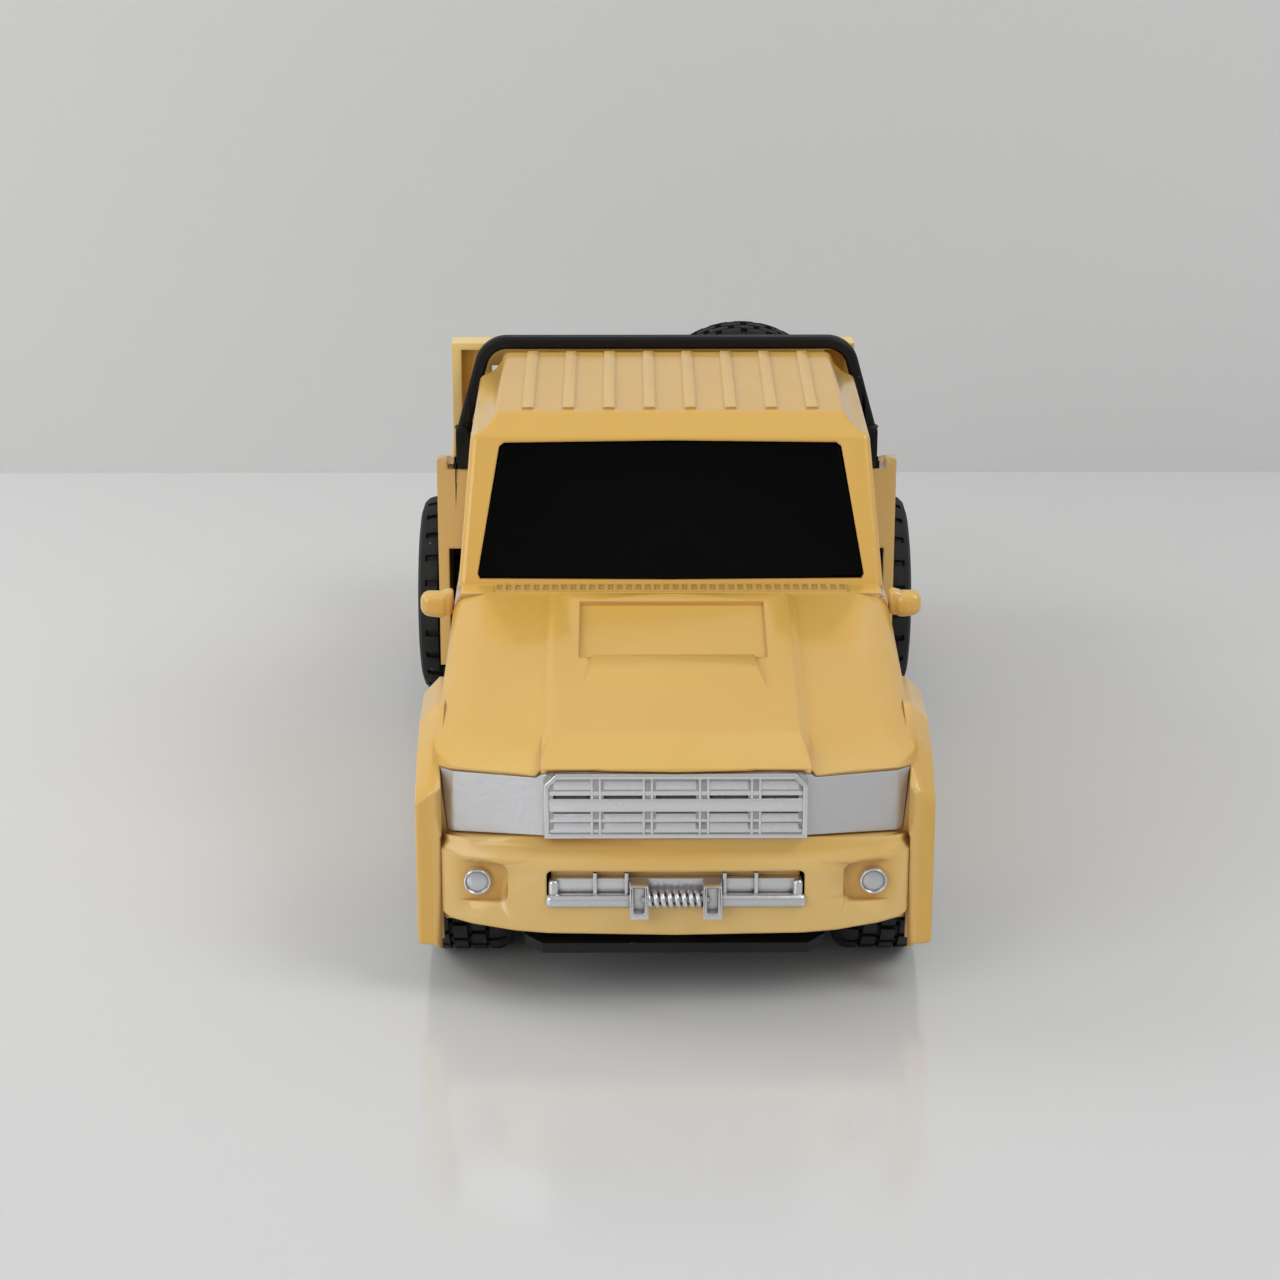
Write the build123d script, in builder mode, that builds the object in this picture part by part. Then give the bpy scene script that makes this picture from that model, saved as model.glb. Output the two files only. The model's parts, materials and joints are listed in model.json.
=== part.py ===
"""Toy tow truck: a moulded pickup cab with a tow bed, built from its separate pieces.

Millimetres. +Z is up, -Y is the front, +X is the truck's left as it drives.
The origin is on the ground, under the middle of the truck.
Lengths along the truck are given as "back" distances from the bumper's front face.
"""
import os
from math import atan2, cos, hypot, sin

from build123d import *

# ---------------------------------------------------------------- driving dimensions
NOSE = -2.4                 # foremost point: the winch brackets
TAIL = 197.0                # rearmost point: the wheel lift, folded up
MIDDLE = (NOSE + TAIL) / 2
GAP = 0.12                  # clearance between pieces that only sit together
RUNNING = 0.06              # radial clearance of a pin or axle in its hole

TYRE_R = 18.5
TYRE_WIDTH = 14.0
RIM_R = 11.2
AXLE_R = 1.5
FRONT_AXLE = 26.5           # back distances of the two axles
REAR_AXLE = 143.0
FRONT_WHEEL_X = 31.4        # middle of each wheel, from the centre line
REAR_WHEEL_X = 39.0
ARCH_R = 19.6

SILL_Z = 12.0
BODY_HALF = 36.4
WALL = 1.5
CAB_BACK = 108.0            # rear wall of the cab
HOOD_FRONT = (7.5, 40.6)    # (back, height) of the hood's front crease
HOOD_BACK = (52.5, 48.7)
LIP_FRONT = (1.0, 38.6)     # lower edge of the hood's front lip
COWL = (57.2, 48.9)
BROW = (68.3, 70.4)         # top of the windscreen
ROOF_FRONT = (72.4, 73.6)
ROOF_BACK_Z = 74.9

FLARE_HALF = 38.9
FLARE_EDGE_R = 0.8
BUMPER_BACK = 6.6           # where the bumper ends, ahead of the front tyres
BUMPER_WALL = 2.3
LEDGE_Z = 24.4              # lower edge of the bumper's set-back upper band
LEDGE_STEP = 1.2

CHASSIS_Z = 8.0             # underside of the chassis plate
PLATE = 1.6
RAIL_X = 21.8               # middle of each chassis side rail
RAIL_T = 2.0
RAIL_TOP = 25.0
CHASSIS_FRONT = 3.4
CHASSIS_BACK = 184.0

BED_FRONT = 109.6
BED_BACK = 186.0
BED_HALF = 40.8
BED_WALL = 1.9
DECK_Z = 39.4               # top of the deck
DECK_T = 1.3
HEADBOARD_Z = 52.9

HOOP_BACK = 111.0
HOOP_TOP = 75.7             # centre line of the hoop's top bar
HOOP_BAR = 2.2
HOOP_PEG_X = 36.0
HOOP_PEG_R = 0.88

GANTRY_FRONT = 114.4
GANTRY_DEPTH = 4.6
GANTRY_X = (-38.0, 33.2)
GANTRY_TOP = 74.6
POST_WIDTH = 7.0
CROSSBAR_Z = 57.7           # lower crossbar, which carries the spare wheel

SPARE_X = 13.4
SPARE_R = 17.6
SPARE_WIDTH = 11.0
SPARE_BACK = 125.1          # middle of the spare wheel's width

BOOM_PIVOT = (142.0, 47.5)  # (back, height)
BOOM_TIP = (191.5, 53.0)
PIN_R = 1.0
HOOK_REACH = 12.0
LIFT_PIVOT = (192.6, 12.2)
LIFT_TOP = 33.5

SCREW_R = 1.0
SCREWS = [(0.0, 13.5), (0.0, 49.0), (-13.0, 172.0), (13.0, 172.0)]   # (x, back)


# ---------------------------------------------------------------- planes and helpers
def cross_plane(back):
    """Upright plane across the truck, facing the front; local axes are X and Z."""
    return Plane(origin=(0, back - MIDDLE, 0), x_dir=(1, 0, 0), z_dir=(0, -1, 0))


def side_plane(x=0.0):
    """Upright plane along the truck, facing +X; local axes are the back distance and Z."""
    return Plane(origin=(x, -MIDDLE, 0), x_dir=(0, 1, 0), z_dir=(1, 0, 0))


def level_plane(z=0.0):
    """Level plane; local axes are X and the back distance."""
    return Plane(origin=(0, -MIDDLE, z), x_dir=(1, 0, 0), z_dir=(0, 0, 1))


def both_sides(half):
    """Closed outline from its half at positive X, listed from one end to the other."""
    return half + [(-x, v) for x, v in reversed(half) if x > 0]


def save(piece, label):
    """Name a finished piece and write its STEP file."""
    piece.part.label = label
    export_step(piece.part, f"parts/{label}.step")


def prism(plane, points, start, end, inset=0.0):
    """Straight solid over a closed outline, from start to end along the plane's normal."""
    with BuildPart() as solid:
        with BuildSketch(plane.offset(start)):
            Polygon(*points)
            if inset:
                offset(amount=-inset, kind=Kind.INTERSECTION)
        extrude(amount=end - start)
    return solid.part


os.makedirs("parts", exist_ok=True)

WIDE = 60.0                 # half-length of a cutting prism that passes right through

# ---------------------------------------------------------------- body forms
BODY_PLAN = both_sides([(0, 0.6), (19.6, 1.4), (33.0, 6.0), (35.4, 8.2), (36.3, 11.5),
                        (BODY_HALF, 20), (BODY_HALF, CAB_BACK), (0, CAB_BACK)])
BODY_SECTION = both_sides([(0, 5), (35.6, 5), (35.7, SILL_Z), (36.5, 28), (36.1, 38),
                           (35.1, 46.2), (33.4, 49.6), (0, 49.6)])


def lower_body(inset, bottom):
    """Fenders, hood and doors as one block, drawn in by inset and open down to bottom."""
    profile = [(-1 - inset, bottom), (-1 - inset, LIP_FRONT[1] - inset), (LIP_FRONT[0], LIP_FRONT[1] - inset),
               (HOOD_FRONT[0], HOOD_FRONT[1] - inset), (HOOD_BACK[0], HOOD_BACK[1] - inset),
               (COWL[0], COWL[1] - inset), (CAB_BACK - inset, COWL[1] - inset), (CAB_BACK - inset, bottom)]
    with BuildPart() as form:
        add(prism(level_plane(), BODY_PLAN, 0, 60, inset))
        add(prism(cross_plane(0), BODY_SECTION, -CAB_BACK - 1, 10, inset), mode=Mode.INTERSECT)
        add(prism(side_plane(), profile, -WIDE, WIDE), mode=Mode.INTERSECT)
    return form.part


def greenhouse(inset, bottom):
    """Cab above the belt line: tapered sides, sloping windscreen and rounded roof edges."""
    with BuildPart() as form:
        with BuildSketch(cross_plane(40)):
            with BuildLine():
                side = Line((35.25, 40), (32.7, 70.6))
                bend = RadiusArc(side @ 1, (28.4, 75.1), 5.2)
                top = Line(bend @ 1, (-28.4, 75.1))
                other = RadiusArc(top @ 1, (-32.7, 70.6), 5.2)
                Polyline(other @ 1, (-35.25, 40), side @ 0)
            make_face()
            if inset:
                offset(amount=-inset, kind=Kind.INTERSECTION)
        extrude(amount=-90)
        profile = [(52.9, bottom - 8.4), COWL, BROW, ROOF_FRONT,
                   (CAB_BACK, ROOF_BACK_Z), (CAB_BACK, bottom - 8.4)]
        with BuildSketch(side_plane(-WIDE)):
            Polygon(*profile)
            if inset:
                offset(amount=-inset, kind=Kind.INTERSECTION)
        extrude(amount=2 * WIDE, mode=Mode.INTERSECT)
        with BuildSketch(level_plane(bottom)):
            with Locations((0, CAB_BACK)):
                Rectangle(2 * WIDE, 4 * WIDE)
        extrude(amount=WIDE, mode=Mode.INTERSECT)
    return form.part


# The hood rises backwards in one plane; its crown and raised panels are drawn square to it.
HOOD_LENGTH = hypot(HOOD_BACK[0] - HOOD_FRONT[0], HOOD_BACK[1] - HOOD_FRONT[1])
HOOD_ANGLE = atan2(HOOD_BACK[1] - HOOD_FRONT[1], HOOD_BACK[0] - HOOD_FRONT[0])
HOOD_PLANE = Plane(origin=(0, HOOD_FRONT[0] - MIDDLE, HOOD_FRONT[1]), x_dir=(-1, 0, 0),
                   z_dir=(0, cos(HOOD_ANGLE), sin(HOOD_ANGLE)))
BULGE_RISE = 0.9


def hood_height(back):
    """Height of the hood's plane at a back distance."""
    share = (back - HOOD_FRONT[0]) / (HOOD_BACK[0] - HOOD_FRONT[0])
    return HOOD_FRONT[1] + share * (HOOD_BACK[1] - HOOD_FRONT[1])


CROWN = [(29.8, 0), (33.4, -0.75), (36.0, -2.4), (45, -6), (45, 9), (29.8, 9)]
LIP_SLOPE = [(-8, -3.9), (18, 8.7), (18, 14), (-8, 14)]


def hood_cuts(drop):
    """Cutting prisms for the hood's falling outer edges and swept front lip, lowered by drop."""
    crown_plane = HOOD_PLANE.offset(0)
    crown_plane.origin -= Vector(0, 0, drop)
    lip_plane = Plane(origin=(20.6, 1.7 - MIDDLE, 37.3 - drop), x_dir=(-0.327, 0.945, 0), z_dir=(0.945, 0.327, 0))
    crown = prism(crown_plane, CROWN, -12, HOOD_LENGTH)
    lip = prism(lip_plane, LIP_SLOPE, -22, 24)
    return [crown, mirror(crown, about=Plane.YZ), lip, mirror(lip, about=Plane.YZ)]


bulge_outline = both_sides([(0, -2), (19.9, -2), (19.9, 0), (18.9, BULGE_RISE - 0.1),
                            (18.3, BULGE_RISE), (0, BULGE_RISE)])
with BuildPart() as bulge:
    add(prism(HOOD_PLANE, bulge_outline, -12, HOOD_LENGTH - 1.5))
    lip_profile = [(1.2, 38.0), (1.2, 38.7), (7.9, 41.55), (60, 52), (60, 38)]
    add(prism(side_plane(), lip_profile, -WIDE, WIDE), mode=Mode.INTERSECT)

SCOOP_FRONT = 20.0
SCOOP_CREST = (25.4, 45.5)  # (back, height)
SCOOP_BACK = 30.6
PANEL_HALF = 14.6
PANEL_BACK = 49.0
with BuildPart() as scoop:
    scoop_profile = [(SCOOP_FRONT - 1, hood_height(SCOOP_FRONT) - 1),
                     (SCOOP_FRONT, hood_height(SCOOP_FRONT) + BULGE_RISE - 0.02), SCOOP_CREST,
                     (SCOOP_BACK, hood_height(SCOOP_BACK) + BULGE_RISE + 0.5),
                     (SCOOP_BACK, hood_height(SCOOP_BACK) - 1)]
    add(prism(side_plane(), scoop_profile, -WIDE, WIDE))
    add(prism(cross_plane(0), both_sides([(0, 40), (16.2, 40), (14.5, 43.7), (12.8, 45.6), (12.2, 47), (0, 47)]),
              -60, 0), mode=Mode.INTERSECT)

PANEL_FLOOR = 0.25          # height of the sunk panel's floor over the hood's plane
hood_panel = prism(HOOD_PLANE, both_sides([(0, PANEL_FLOOR), (PANEL_HALF, PANEL_FLOOR), (PANEL_HALF + 0.6, 3), (0, 3)]),
                   SCOOP_BACK - HOOD_FRONT[0] + 0.4, PANEL_BACK - HOOD_FRONT[0])

# ---------------------------------------------------------------- window openings
WINDSCREEN = both_sides([(0, 49.3), (31.0, 49.5), (31.4, 50.2), (28.0, 69.0), (27.2, 69.6), (0, 69.9)])
REAR_WINDOW = both_sides([(0, 56), (23.5, 56), (24.2, 56.8), (22.8, 68.2), (22, 69), (0, 69)])
DOOR_WINDOW = [(64.6, 50.6), (72.3, 68.2), (73.4, 69.0), (86.2, 69.6), (87.0, 68.8), (87.4, 50.6)]
QUARTER_WINDOW = [(91.6, 50.6), (91.2, 68.9), (92.0, 69.7), (101.6, 69.9), (102.6, 69.0), (103.6, 50.6)]


def window_tools(inset):
    """Prisms through every window opening, drawn in by inset."""
    return [prism(cross_plane(0), WINDSCREEN, -76, -50, inset),
            prism(cross_plane(0), REAR_WINDOW, -112, -100, inset),
            prism(side_plane(), DOOR_WINDOW, -WIDE, WIDE, inset),
            prism(side_plane(), QUARTER_WINDOW, -WIDE, WIDE, inset)]


# ---------------------------------------------------------------- nose pocket for the grille
POCKET_DEPTH = 1.8
GRILLE_OUTLINE = both_sides([(0, 27.9), (20.0, 27.9), (34.2, 26.7), (35.2, 36.5), (20.8, 37.2),
                             (18.7, 38.3), (0, 38.3)])
with BuildPart() as nose_pocket:
    add(prism(cross_plane(0), GRILLE_OUTLINE, -14, 6))
    add(prism(level_plane(), BODY_PLAN, 0, 60, POCKET_DEPTH), mode=Mode.SUBTRACT)

# ---------------------------------------------------------------- wheel flares
FLARE_INNER = [(4.7, 8.4), (4.7, 33.6), (12.2, 39.4), (20, 41.6), (33, 41.6), (41.2, 38), (48.4, 28), (48.4, SILL_Z)]
FLARE_OUTER = [(5.0, 8.4), (5.0, 31.4), (13.2, 36.8), (20.6, 39.0), (32.6, 39.0), (39.6, 35.8), (46.6, 26.6),
               (46.6, SILL_Z)]


def front_flare(side):
    """Fender flare round one front wheel; side is +1 or -1."""
    with BuildPart() as flare:
        with BuildSketch(side_plane(side * (BODY_HALF - 1.4))):
            Polygon(*FLARE_INNER)
        with BuildSketch(side_plane(side * BODY_HALF)):
            Polygon(*FLARE_INNER)
        loft(ruled=True)
        with BuildSketch(side_plane(side * BODY_HALF)):
            Polygon(*FLARE_INNER)
        with BuildSketch(side_plane(side * FLARE_HALF)):
            Polygon(*FLARE_OUTER)
        loft(ruled=True)
        fillet(flare.edges().filter_by(lambda edge: side * edge.center().X > BODY_HALF + 0.3), FLARE_EDGE_R)
    return flare.part


BUMPER_PLAN = both_sides([(0, 0), (19.0, 0.4), (30.5, 2.4), (34.6, 4.2), (36.3, 6.8), (36.3, 30), (0, 30)])
BUMPER_FACE = both_sides([(0, 12.5), (24, 12.7), (33.6, 13.7), (36.3, 15.2), (37, 26.0), (34.2, 26.4),
                          (20, 27.6), (0, 27.6)])
SPACE_FACE = both_sides([(0, 5), (38, 5), (38, 26.15), (36.0, 26.15), (34.0, 26.75), (20, 27.95), (0, 27.95)])
with BuildPart() as bumper_space:
    add(prism(level_plane(), BUMPER_PLAN, 5, 29, -0.15))
    add(prism(cross_plane(0), SPACE_FACE, -BUMPER_BACK - 0.8, 10), mode=Mode.INTERSECT)

# ---------------------------------------------------------------- door lines
DOOR_LINE_DEPTH = 0.3
with BuildPart() as door_lines:
    with BuildSketch(side_plane(-WIDE)):
        with BuildLine():
            FilletPolyline((62.4, 48.6), (60.2, 40), (60.2, 15.5), (88.6, 15.5), (89.4, 40), (89.4, 50.2),
                           (89.0, 70.8), radius=2.0)
        trace(line_width=0.45)
        with BuildLine():
            Line((52.0, 47.8), (89.2, 47.8))
        trace(line_width=0.35)
    extrude(amount=2 * WIDE)
    add(lower_body(DOOR_LINE_DEPTH, 0), mode=Mode.SUBTRACT)
    add(greenhouse(DOOR_LINE_DEPTH, 40), mode=Mode.SUBTRACT)

# ---------------------------------------------------------------- cab shell
ROOF_LENGTH = CAB_BACK - ROOF_FRONT[0]
ROOF_ANGLE = atan2(ROOF_BACK_Z - ROOF_FRONT[1], ROOF_LENGTH)
ROOF_PLANE = Plane(origin=(0, ROOF_FRONT[0] - MIDDLE, ROOF_FRONT[1]), x_dir=(-1, 0, 0),
                   z_dir=(0, cos(ROOF_ANGLE), sin(ROOF_ANGLE)))
RIB_RISE = 0.35
ROOF_RIBS = [3.35 * step for step in (-7, -5, -3, -1, 1, 3, 5, 7)]
BOSS_R = 2.6
MIRROR_BACK = 54.6
MIRROR_Z = 45.2
PEG_R = 0.8
CAB_EDGE_R = 1.2
outer_body = lower_body(0, SILL_Z)
with BuildPart() as cab_form:
    add(greenhouse(0, 44))
    fillet(cab_form.edges().filter_by(lambda edge: edge.center().Z > 44.5), CAB_EDGE_R)
outer_cab = cab_form.part
cab_cavity = greenhouse(WALL, 40)
flares = [front_flare(1), front_flare(-1)]

with BuildPart() as body_cavity:
    add(lower_body(WALL, 0))
    for cut in hood_cuts(WALL):
        add(cut, mode=Mode.SUBTRACT)

with BuildPart() as cab_shell:
    add(outer_body)
    for cut in hood_cuts(0):
        add(cut, mode=Mode.SUBTRACT)
    add(bulge.part)
    add(scoop.part)
    add(hood_panel, mode=Mode.SUBTRACT)
    add(outer_cab)
    add(flares)
    add(door_lines.part, mode=Mode.SUBTRACT)
    add(body_cavity.part, mode=Mode.SUBTRACT)
    add(cab_cavity, mode=Mode.SUBTRACT)
    for tool in window_tools(0):
        add(tool, mode=Mode.SUBTRACT)
    with BuildSketch(side_plane(-WIDE)):
        with Locations((FRONT_AXLE, TYRE_R)):
            Circle(ARCH_R)
    extrude(amount=2 * WIDE, mode=Mode.SUBTRACT)
    with BuildSketch(cross_plane(CAB_BACK - 6)):
        Rectangle(2 * RAIL_X + 5, 2 * RAIL_TOP + 2)
    extrude(amount=-8, mode=Mode.SUBTRACT)
    add(nose_pocket.part, mode=Mode.SUBTRACT)
    add(bumper_space.part, mode=Mode.SUBTRACT)
    for x in ROOF_RIBS:
        with BuildSketch(ROOF_PLANE.offset(1.5)):
            with Locations((x, -0.3)):
                Trapezoid(2.4, RIB_RISE + 0.3, 62, align=(Align.CENTER, Align.MIN))
        extrude(amount=ROOF_LENGTH - 3)
    for side in (-1, 1):
        with BuildSketch(side_plane(side * 32)):
            with Locations((MIRROR_BACK, MIRROR_Z)):
                Circle(PEG_R + 0.02)
        extrude(amount=side * 5, mode=Mode.SUBTRACT)
    for x, back in SCREWS[:2]:
        with BuildSketch(level_plane(CHASSIS_Z + PLATE)):
            with Locations((x, back)):
                Circle(BOSS_R)
                Circle(SCREW_R, mode=Mode.SUBTRACT)
        extrude(amount=hood_height(back) - CHASSIS_Z - PLATE - 1)
save(cab_shell, "cab_shell")

# ---------------------------------------------------------------- window insert
# One moulded block behind all the windows: a hollow cap with raised panes that fill the openings.
GLASS_WALL = 1.1
GLASS_SET_BACK = 0.35
with BuildPart() as panes:
    for tool in window_tools(GAP):
        add(tool)
    add(greenhouse(GLASS_SET_BACK, 40), mode=Mode.INTERSECT)
with BuildPart() as window_insert:
    add(greenhouse(WALL + 0.1, 50.2))
    add(panes.part)
    add(greenhouse(WALL + 0.1 + GLASS_WALL, 40), mode=Mode.SUBTRACT)
save(window_insert, "window_insert")

# ---------------------------------------------------------------- grille and headlamps
GRILLE_HALF = 19.4
SLOT_DEPTH = 0.8
with BuildPart() as grille_insert:
    add(prism(cross_plane(0), GRILLE_OUTLINE, -14, 6, GAP))
    add(prism(level_plane(), BODY_PLAN, 0, 60), mode=Mode.INTERSECT)
    add(prism(level_plane(), BODY_PLAN, 0, 60, POCKET_DEPTH - 0.1), mode=Mode.SUBTRACT)
    with BuildSketch(cross_plane(0.2)):
        Polygon(*both_sides([(0, 28.05), (GRILLE_HALF, 28.05), (GRILLE_HALF, 36.6), (17.6, 38.1), (0, 38.1)]))
    extrude(amount=-1.5)
    for low, high in ((29.3, 30.5), (31.0, 32.2), (34.0, 35.2), (35.8, 37.1)):
        for middle, width in ((-15.3, 5.6), (-7.7, 5.9), (0, 5.9), (7.7, 5.9), (15.3, 5.6)):
            with BuildSketch(cross_plane(0.1)):
                with Locations((middle, (low + high) / 2)):
                    Rectangle(width, high - low)
            extrude(amount=-SLOT_DEPTH, mode=Mode.SUBTRACT)
save(grille_insert, "grille_insert")

# ---------------------------------------------------------------- front bumper
INTAKE = (19.2, 17.0, 22.7)       # half-width, bottom and top of the lower opening
FOG_X = 29.6
FOG_Z = 20.2
FOG_FLOOR = 3.1
FOG_R = 2.1
with BuildPart() as bumper_body:
    add(prism(level_plane(), BUMPER_PLAN, SILL_Z, LEDGE_Z))
    with BuildSketch(level_plane(LEDGE_Z)):
        Polygon(*BUMPER_PLAN)
    extrude(amount=LEDGE_STEP, taper=45)
    add(prism(level_plane(), BUMPER_PLAN, LEDGE_Z + LEDGE_STEP - 0.05, 29, LEDGE_STEP - 0.05))
    add(prism(cross_plane(0), BUMPER_FACE, -WIDE, 10), mode=Mode.INTERSECT)
    with BuildSketch(level_plane(0)):
        Rectangle(2 * WIDE, 2 * BUMPER_BACK)
    extrude(amount=WIDE, mode=Mode.INTERSECT)
with BuildPart() as front_bumper:
    add(bumper_body.part)
    add(prism(level_plane(), BUMPER_PLAN, 5, 24.0, BUMPER_WALL), mode=Mode.SUBTRACT)
    with BuildSketch(cross_plane(-1)):
        with Locations((0, (INTAKE[1] + INTAKE[2]) / 2)):
            RectangleRounded(2 * INTAKE[0], INTAKE[2] - INTAKE[1], 0.8)
    extrude(amount=-5, mode=Mode.SUBTRACT)
    for side in (-1, 1):
        with BuildSketch(cross_plane(-1)):
            with Locations((side * (FOG_X - 0.3), FOG_Z)):
                RectangleRounded(8.6, 6.4, 1.4)
        extrude(amount=-1 - FOG_FLOOR, mode=Mode.SUBTRACT)
save(front_bumper, "front_bumper")

for side, label in ((-1, "fog_lamp_right"), (1, "fog_lamp_left")):
    with BuildPart() as fog_lamp:
        with BuildSketch(cross_plane(FOG_FLOOR)):
            with Locations((side * FOG_X, FOG_Z)):
                Circle(FOG_R)
        extrude(amount=1.1)
        chamfer(fog_lamp.faces().sort_by(Axis.Y)[0].edges(), 0.3)
    save(fog_lamp, label)

# ---------------------------------------------------------------- intake trim with its moulded winch
COIL_HALF = 4.4
COIL_Z = 19.1
COIL_BACK = -0.9
BRACKET_X = 6.0
with BuildPart() as winch_trim:
    with BuildSketch(cross_plane(1.3)):
        with Locations((0, (INTAKE[1] + 21.3) / 2)):
            RectangleRounded(2 * INTAKE[0] - 0.3, 21.3 - INTAKE[1] - 0.1, 0.7)
    extrude(amount=-1.0)
    with BuildSketch(side_plane(-INTAKE[0] + 0.6)):
        with Locations((0.4, 18.3)):
            Rectangle(1.9, 1.9)
    extrude(amount=2 * INTAKE[0] - 1.2)
    fillet(winch_trim.edges().filter_by(Axis.X).group_by(Axis.Y)[0], 0.6)
    for x in (-12.6, -8.0, 8.0, 12.6):
        with BuildSketch(cross_plane(0.2)):
            with Locations((x, (INTAKE[1] + INTAKE[2]) / 2)):
                Rectangle(0.7, INTAKE[2] - INTAKE[1] - 0.2)
        extrude(amount=-2.0)
    for x in (-BRACKET_X, BRACKET_X):
        with BuildSketch(side_plane(x - 1.5)):
            Polygon((NOSE, 15.9), (0.9, 17.2), (0.9, 21.3), (NOSE, 21.3))
        extrude(amount=3.0)
        with BuildSketch(cross_plane(NOSE - 0.1)):
            with Locations((x, 20.0)):
                Rectangle(1.2, 3.4)
        extrude(amount=-1.3, mode=Mode.SUBTRACT)
    with BuildSketch(side_plane(-BRACKET_X)):
        with Locations((COIL_BACK, COIL_Z)):
            Circle(0.85)
    extrude(amount=2 * BRACKET_X)
    with BuildSketch(side_plane(-COIL_HALF - 0.3)):
        with Locations((COIL_BACK, COIL_Z)):
            Circle(1.3)
    extrude(amount=0.55)
    for turn in range(1, 9):
        with BuildSketch(side_plane(-COIL_HALF - 0.3 + turn * 1.08)):
            with Locations((COIL_BACK, COIL_Z)):
                Circle(1.3)
        extrude(amount=0.55)
save(winch_trim, "winch_trim")

# ---------------------------------------------------------------- door mirrors
MIRROR_HEIGHT = 4.4
MIRROR_REACH = 4.5          # how far a mirror pod stands out from its root
for side, label in ((-1, "mirror_right"), (1, "mirror_left")):
    with BuildPart() as door_mirror:
        with BuildSketch(side_plane(side * 36.0)):
            with Locations((MIRROR_BACK - 0.4, 46.3)):
                RectangleRounded(3.6, MIRROR_HEIGHT, 1.7)
        with BuildSketch(side_plane(side * (36.0 + MIRROR_REACH))):
            with Locations((MIRROR_BACK - 0.6, 46.6)):
                RectangleRounded(3.4, MIRROR_HEIGHT - 0.5, 1.6)
        loft(ruled=True)
        fillet(door_mirror.faces().sort_by(Axis.X)[-1 if side > 0 else 0].edges(), 1.3)
        fillet(door_mirror.faces().sort_by(Axis.X)[0 if side > 0 else -1].edges(), 0.5)
        with BuildSketch(side_plane(side * 36.2)):
            with Locations((MIRROR_BACK, MIRROR_Z)):
                Circle(PEG_R)
        extrude(amount=-side * 3.2)
    save(door_mirror, label)

# ---------------------------------------------------------------- chassis
WAIST_HALF = 33.6
INNER_HALF = 22.8
TAIL_HALF = 30.4
PLATE_PLAN = both_sides([(0, CHASSIS_FRONT), (20, CHASSIS_FRONT), (INNER_HALF, 7), (INNER_HALF, 48.6),
                         (WAIST_HALF, 50.4), (WAIST_HALF, 119), (TAIL_HALF, 121.6), (TAIL_HALF, CHASSIS_BACK),
                         (0, CHASSIS_BACK)])
RAIL_FRONT = 10.0
LIFT_EAR_X = 5.6
with BuildPart() as chassis:
    add(prism(level_plane(), PLATE_PLAN, CHASSIS_Z, CHASSIS_Z + PLATE))
    for x in (-RAIL_X, RAIL_X):
        with BuildSketch(side_plane(x - RAIL_T / 2)):
            Polygon((RAIL_FRONT, CHASSIS_Z), (CHASSIS_BACK, CHASSIS_Z), (CHASSIS_BACK, RAIL_TOP),
                    (RAIL_FRONT + 3, RAIL_TOP))
        extrude(amount=RAIL_T)
    for back in (20.0, 34.0, 84.0, 134.0, 152.0, 180.0):
        with BuildSketch(cross_plane(back)):
            with Locations((0, CHASSIS_Z)):
                Rectangle(2 * RAIL_X, 6.0, align=(Align.CENTER, Align.MIN))
        extrude(amount=-1.4)
    for back in (FRONT_AXLE, REAR_AXLE):
        with BuildSketch(side_plane(-WIDE)):
            with Locations((back, TYRE_R)):
                Circle(AXLE_R + RUNNING)
        extrude(amount=2 * WIDE, mode=Mode.SUBTRACT)
    for x, back in SCREWS:
        with BuildSketch(level_plane(CHASSIS_Z - 1)):
            with Locations((x, back)):
                Circle(SCREW_R + 0.15)
        extrude(amount=PLATE + 2, mode=Mode.SUBTRACT)
    for x in (-LIFT_EAR_X, LIFT_EAR_X):
        with BuildSketch(side_plane(x - 1)):
            Polygon((CHASSIS_BACK - 3, CHASSIS_Z), (LIFT_PIVOT[0], CHASSIS_Z + 1.2), (LIFT_PIVOT[0] + 2.6, 10.4),
                    (LIFT_PIVOT[0] + 2.6, 14), (LIFT_PIVOT[0], 15), (CHASSIS_BACK - 3, 15))
        extrude(amount=2)
        with BuildSketch(side_plane(x - 2)):
            with Locations(LIFT_PIVOT):
                Circle(PIN_R)
        extrude(amount=4, mode=Mode.SUBTRACT)
save(chassis, "chassis")

with BuildPart() as screws:
    for x, back in SCREWS:
        with BuildSketch(level_plane(CHASSIS_Z - 1.2)):
            with Locations((x, back)):
                Circle(2.0)
        extrude(amount=1.2)
        with BuildSketch(level_plane(CHASSIS_Z)):
            with Locations((x, back)):
                Circle(SCREW_R - 0.05)
        extrude(amount=10.0)
save(screws, "assembly_screws")

# ---------------------------------------------------------------- wheels
TREAD_GROOVE = 0.7
HUB_R = 3.0


def tyre(plane, radius, width):
    """Tyre with rounded shoulders and three grooves, revolved in its own plane."""
    half = width / 2
    with BuildPart() as ring:
        with BuildSketch(plane):
            with BuildLine():
                Polyline((-half + 1.2, RIM_R), (-half + 0.2, RIM_R + 1.2), (-half, radius - 4.2))
                left = ThreePointArc((-half, radius - 4.2), (-half + 0.75, radius - 1.0), (-half + 2.6, radius))
                Line(left @ 1, (half - 2.6, radius))
                ThreePointArc((half - 2.6, radius), (half - 0.75, radius - 1.0), (half, radius - 4.2))
                Polyline((half, radius - 4.2), (half - 0.2, RIM_R + 1.2), (half - 1.2, RIM_R),
                         (-half + 1.2, RIM_R))
            make_face()
            with Locations((-width * 0.2, radius), (0, radius), (width * 0.2, radius)):
                Rectangle(0.7, 2 * TREAD_GROOVE, mode=Mode.SUBTRACT)
        revolve(axis=Axis(plane.origin, plane.x_dir))
    return ring


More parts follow.
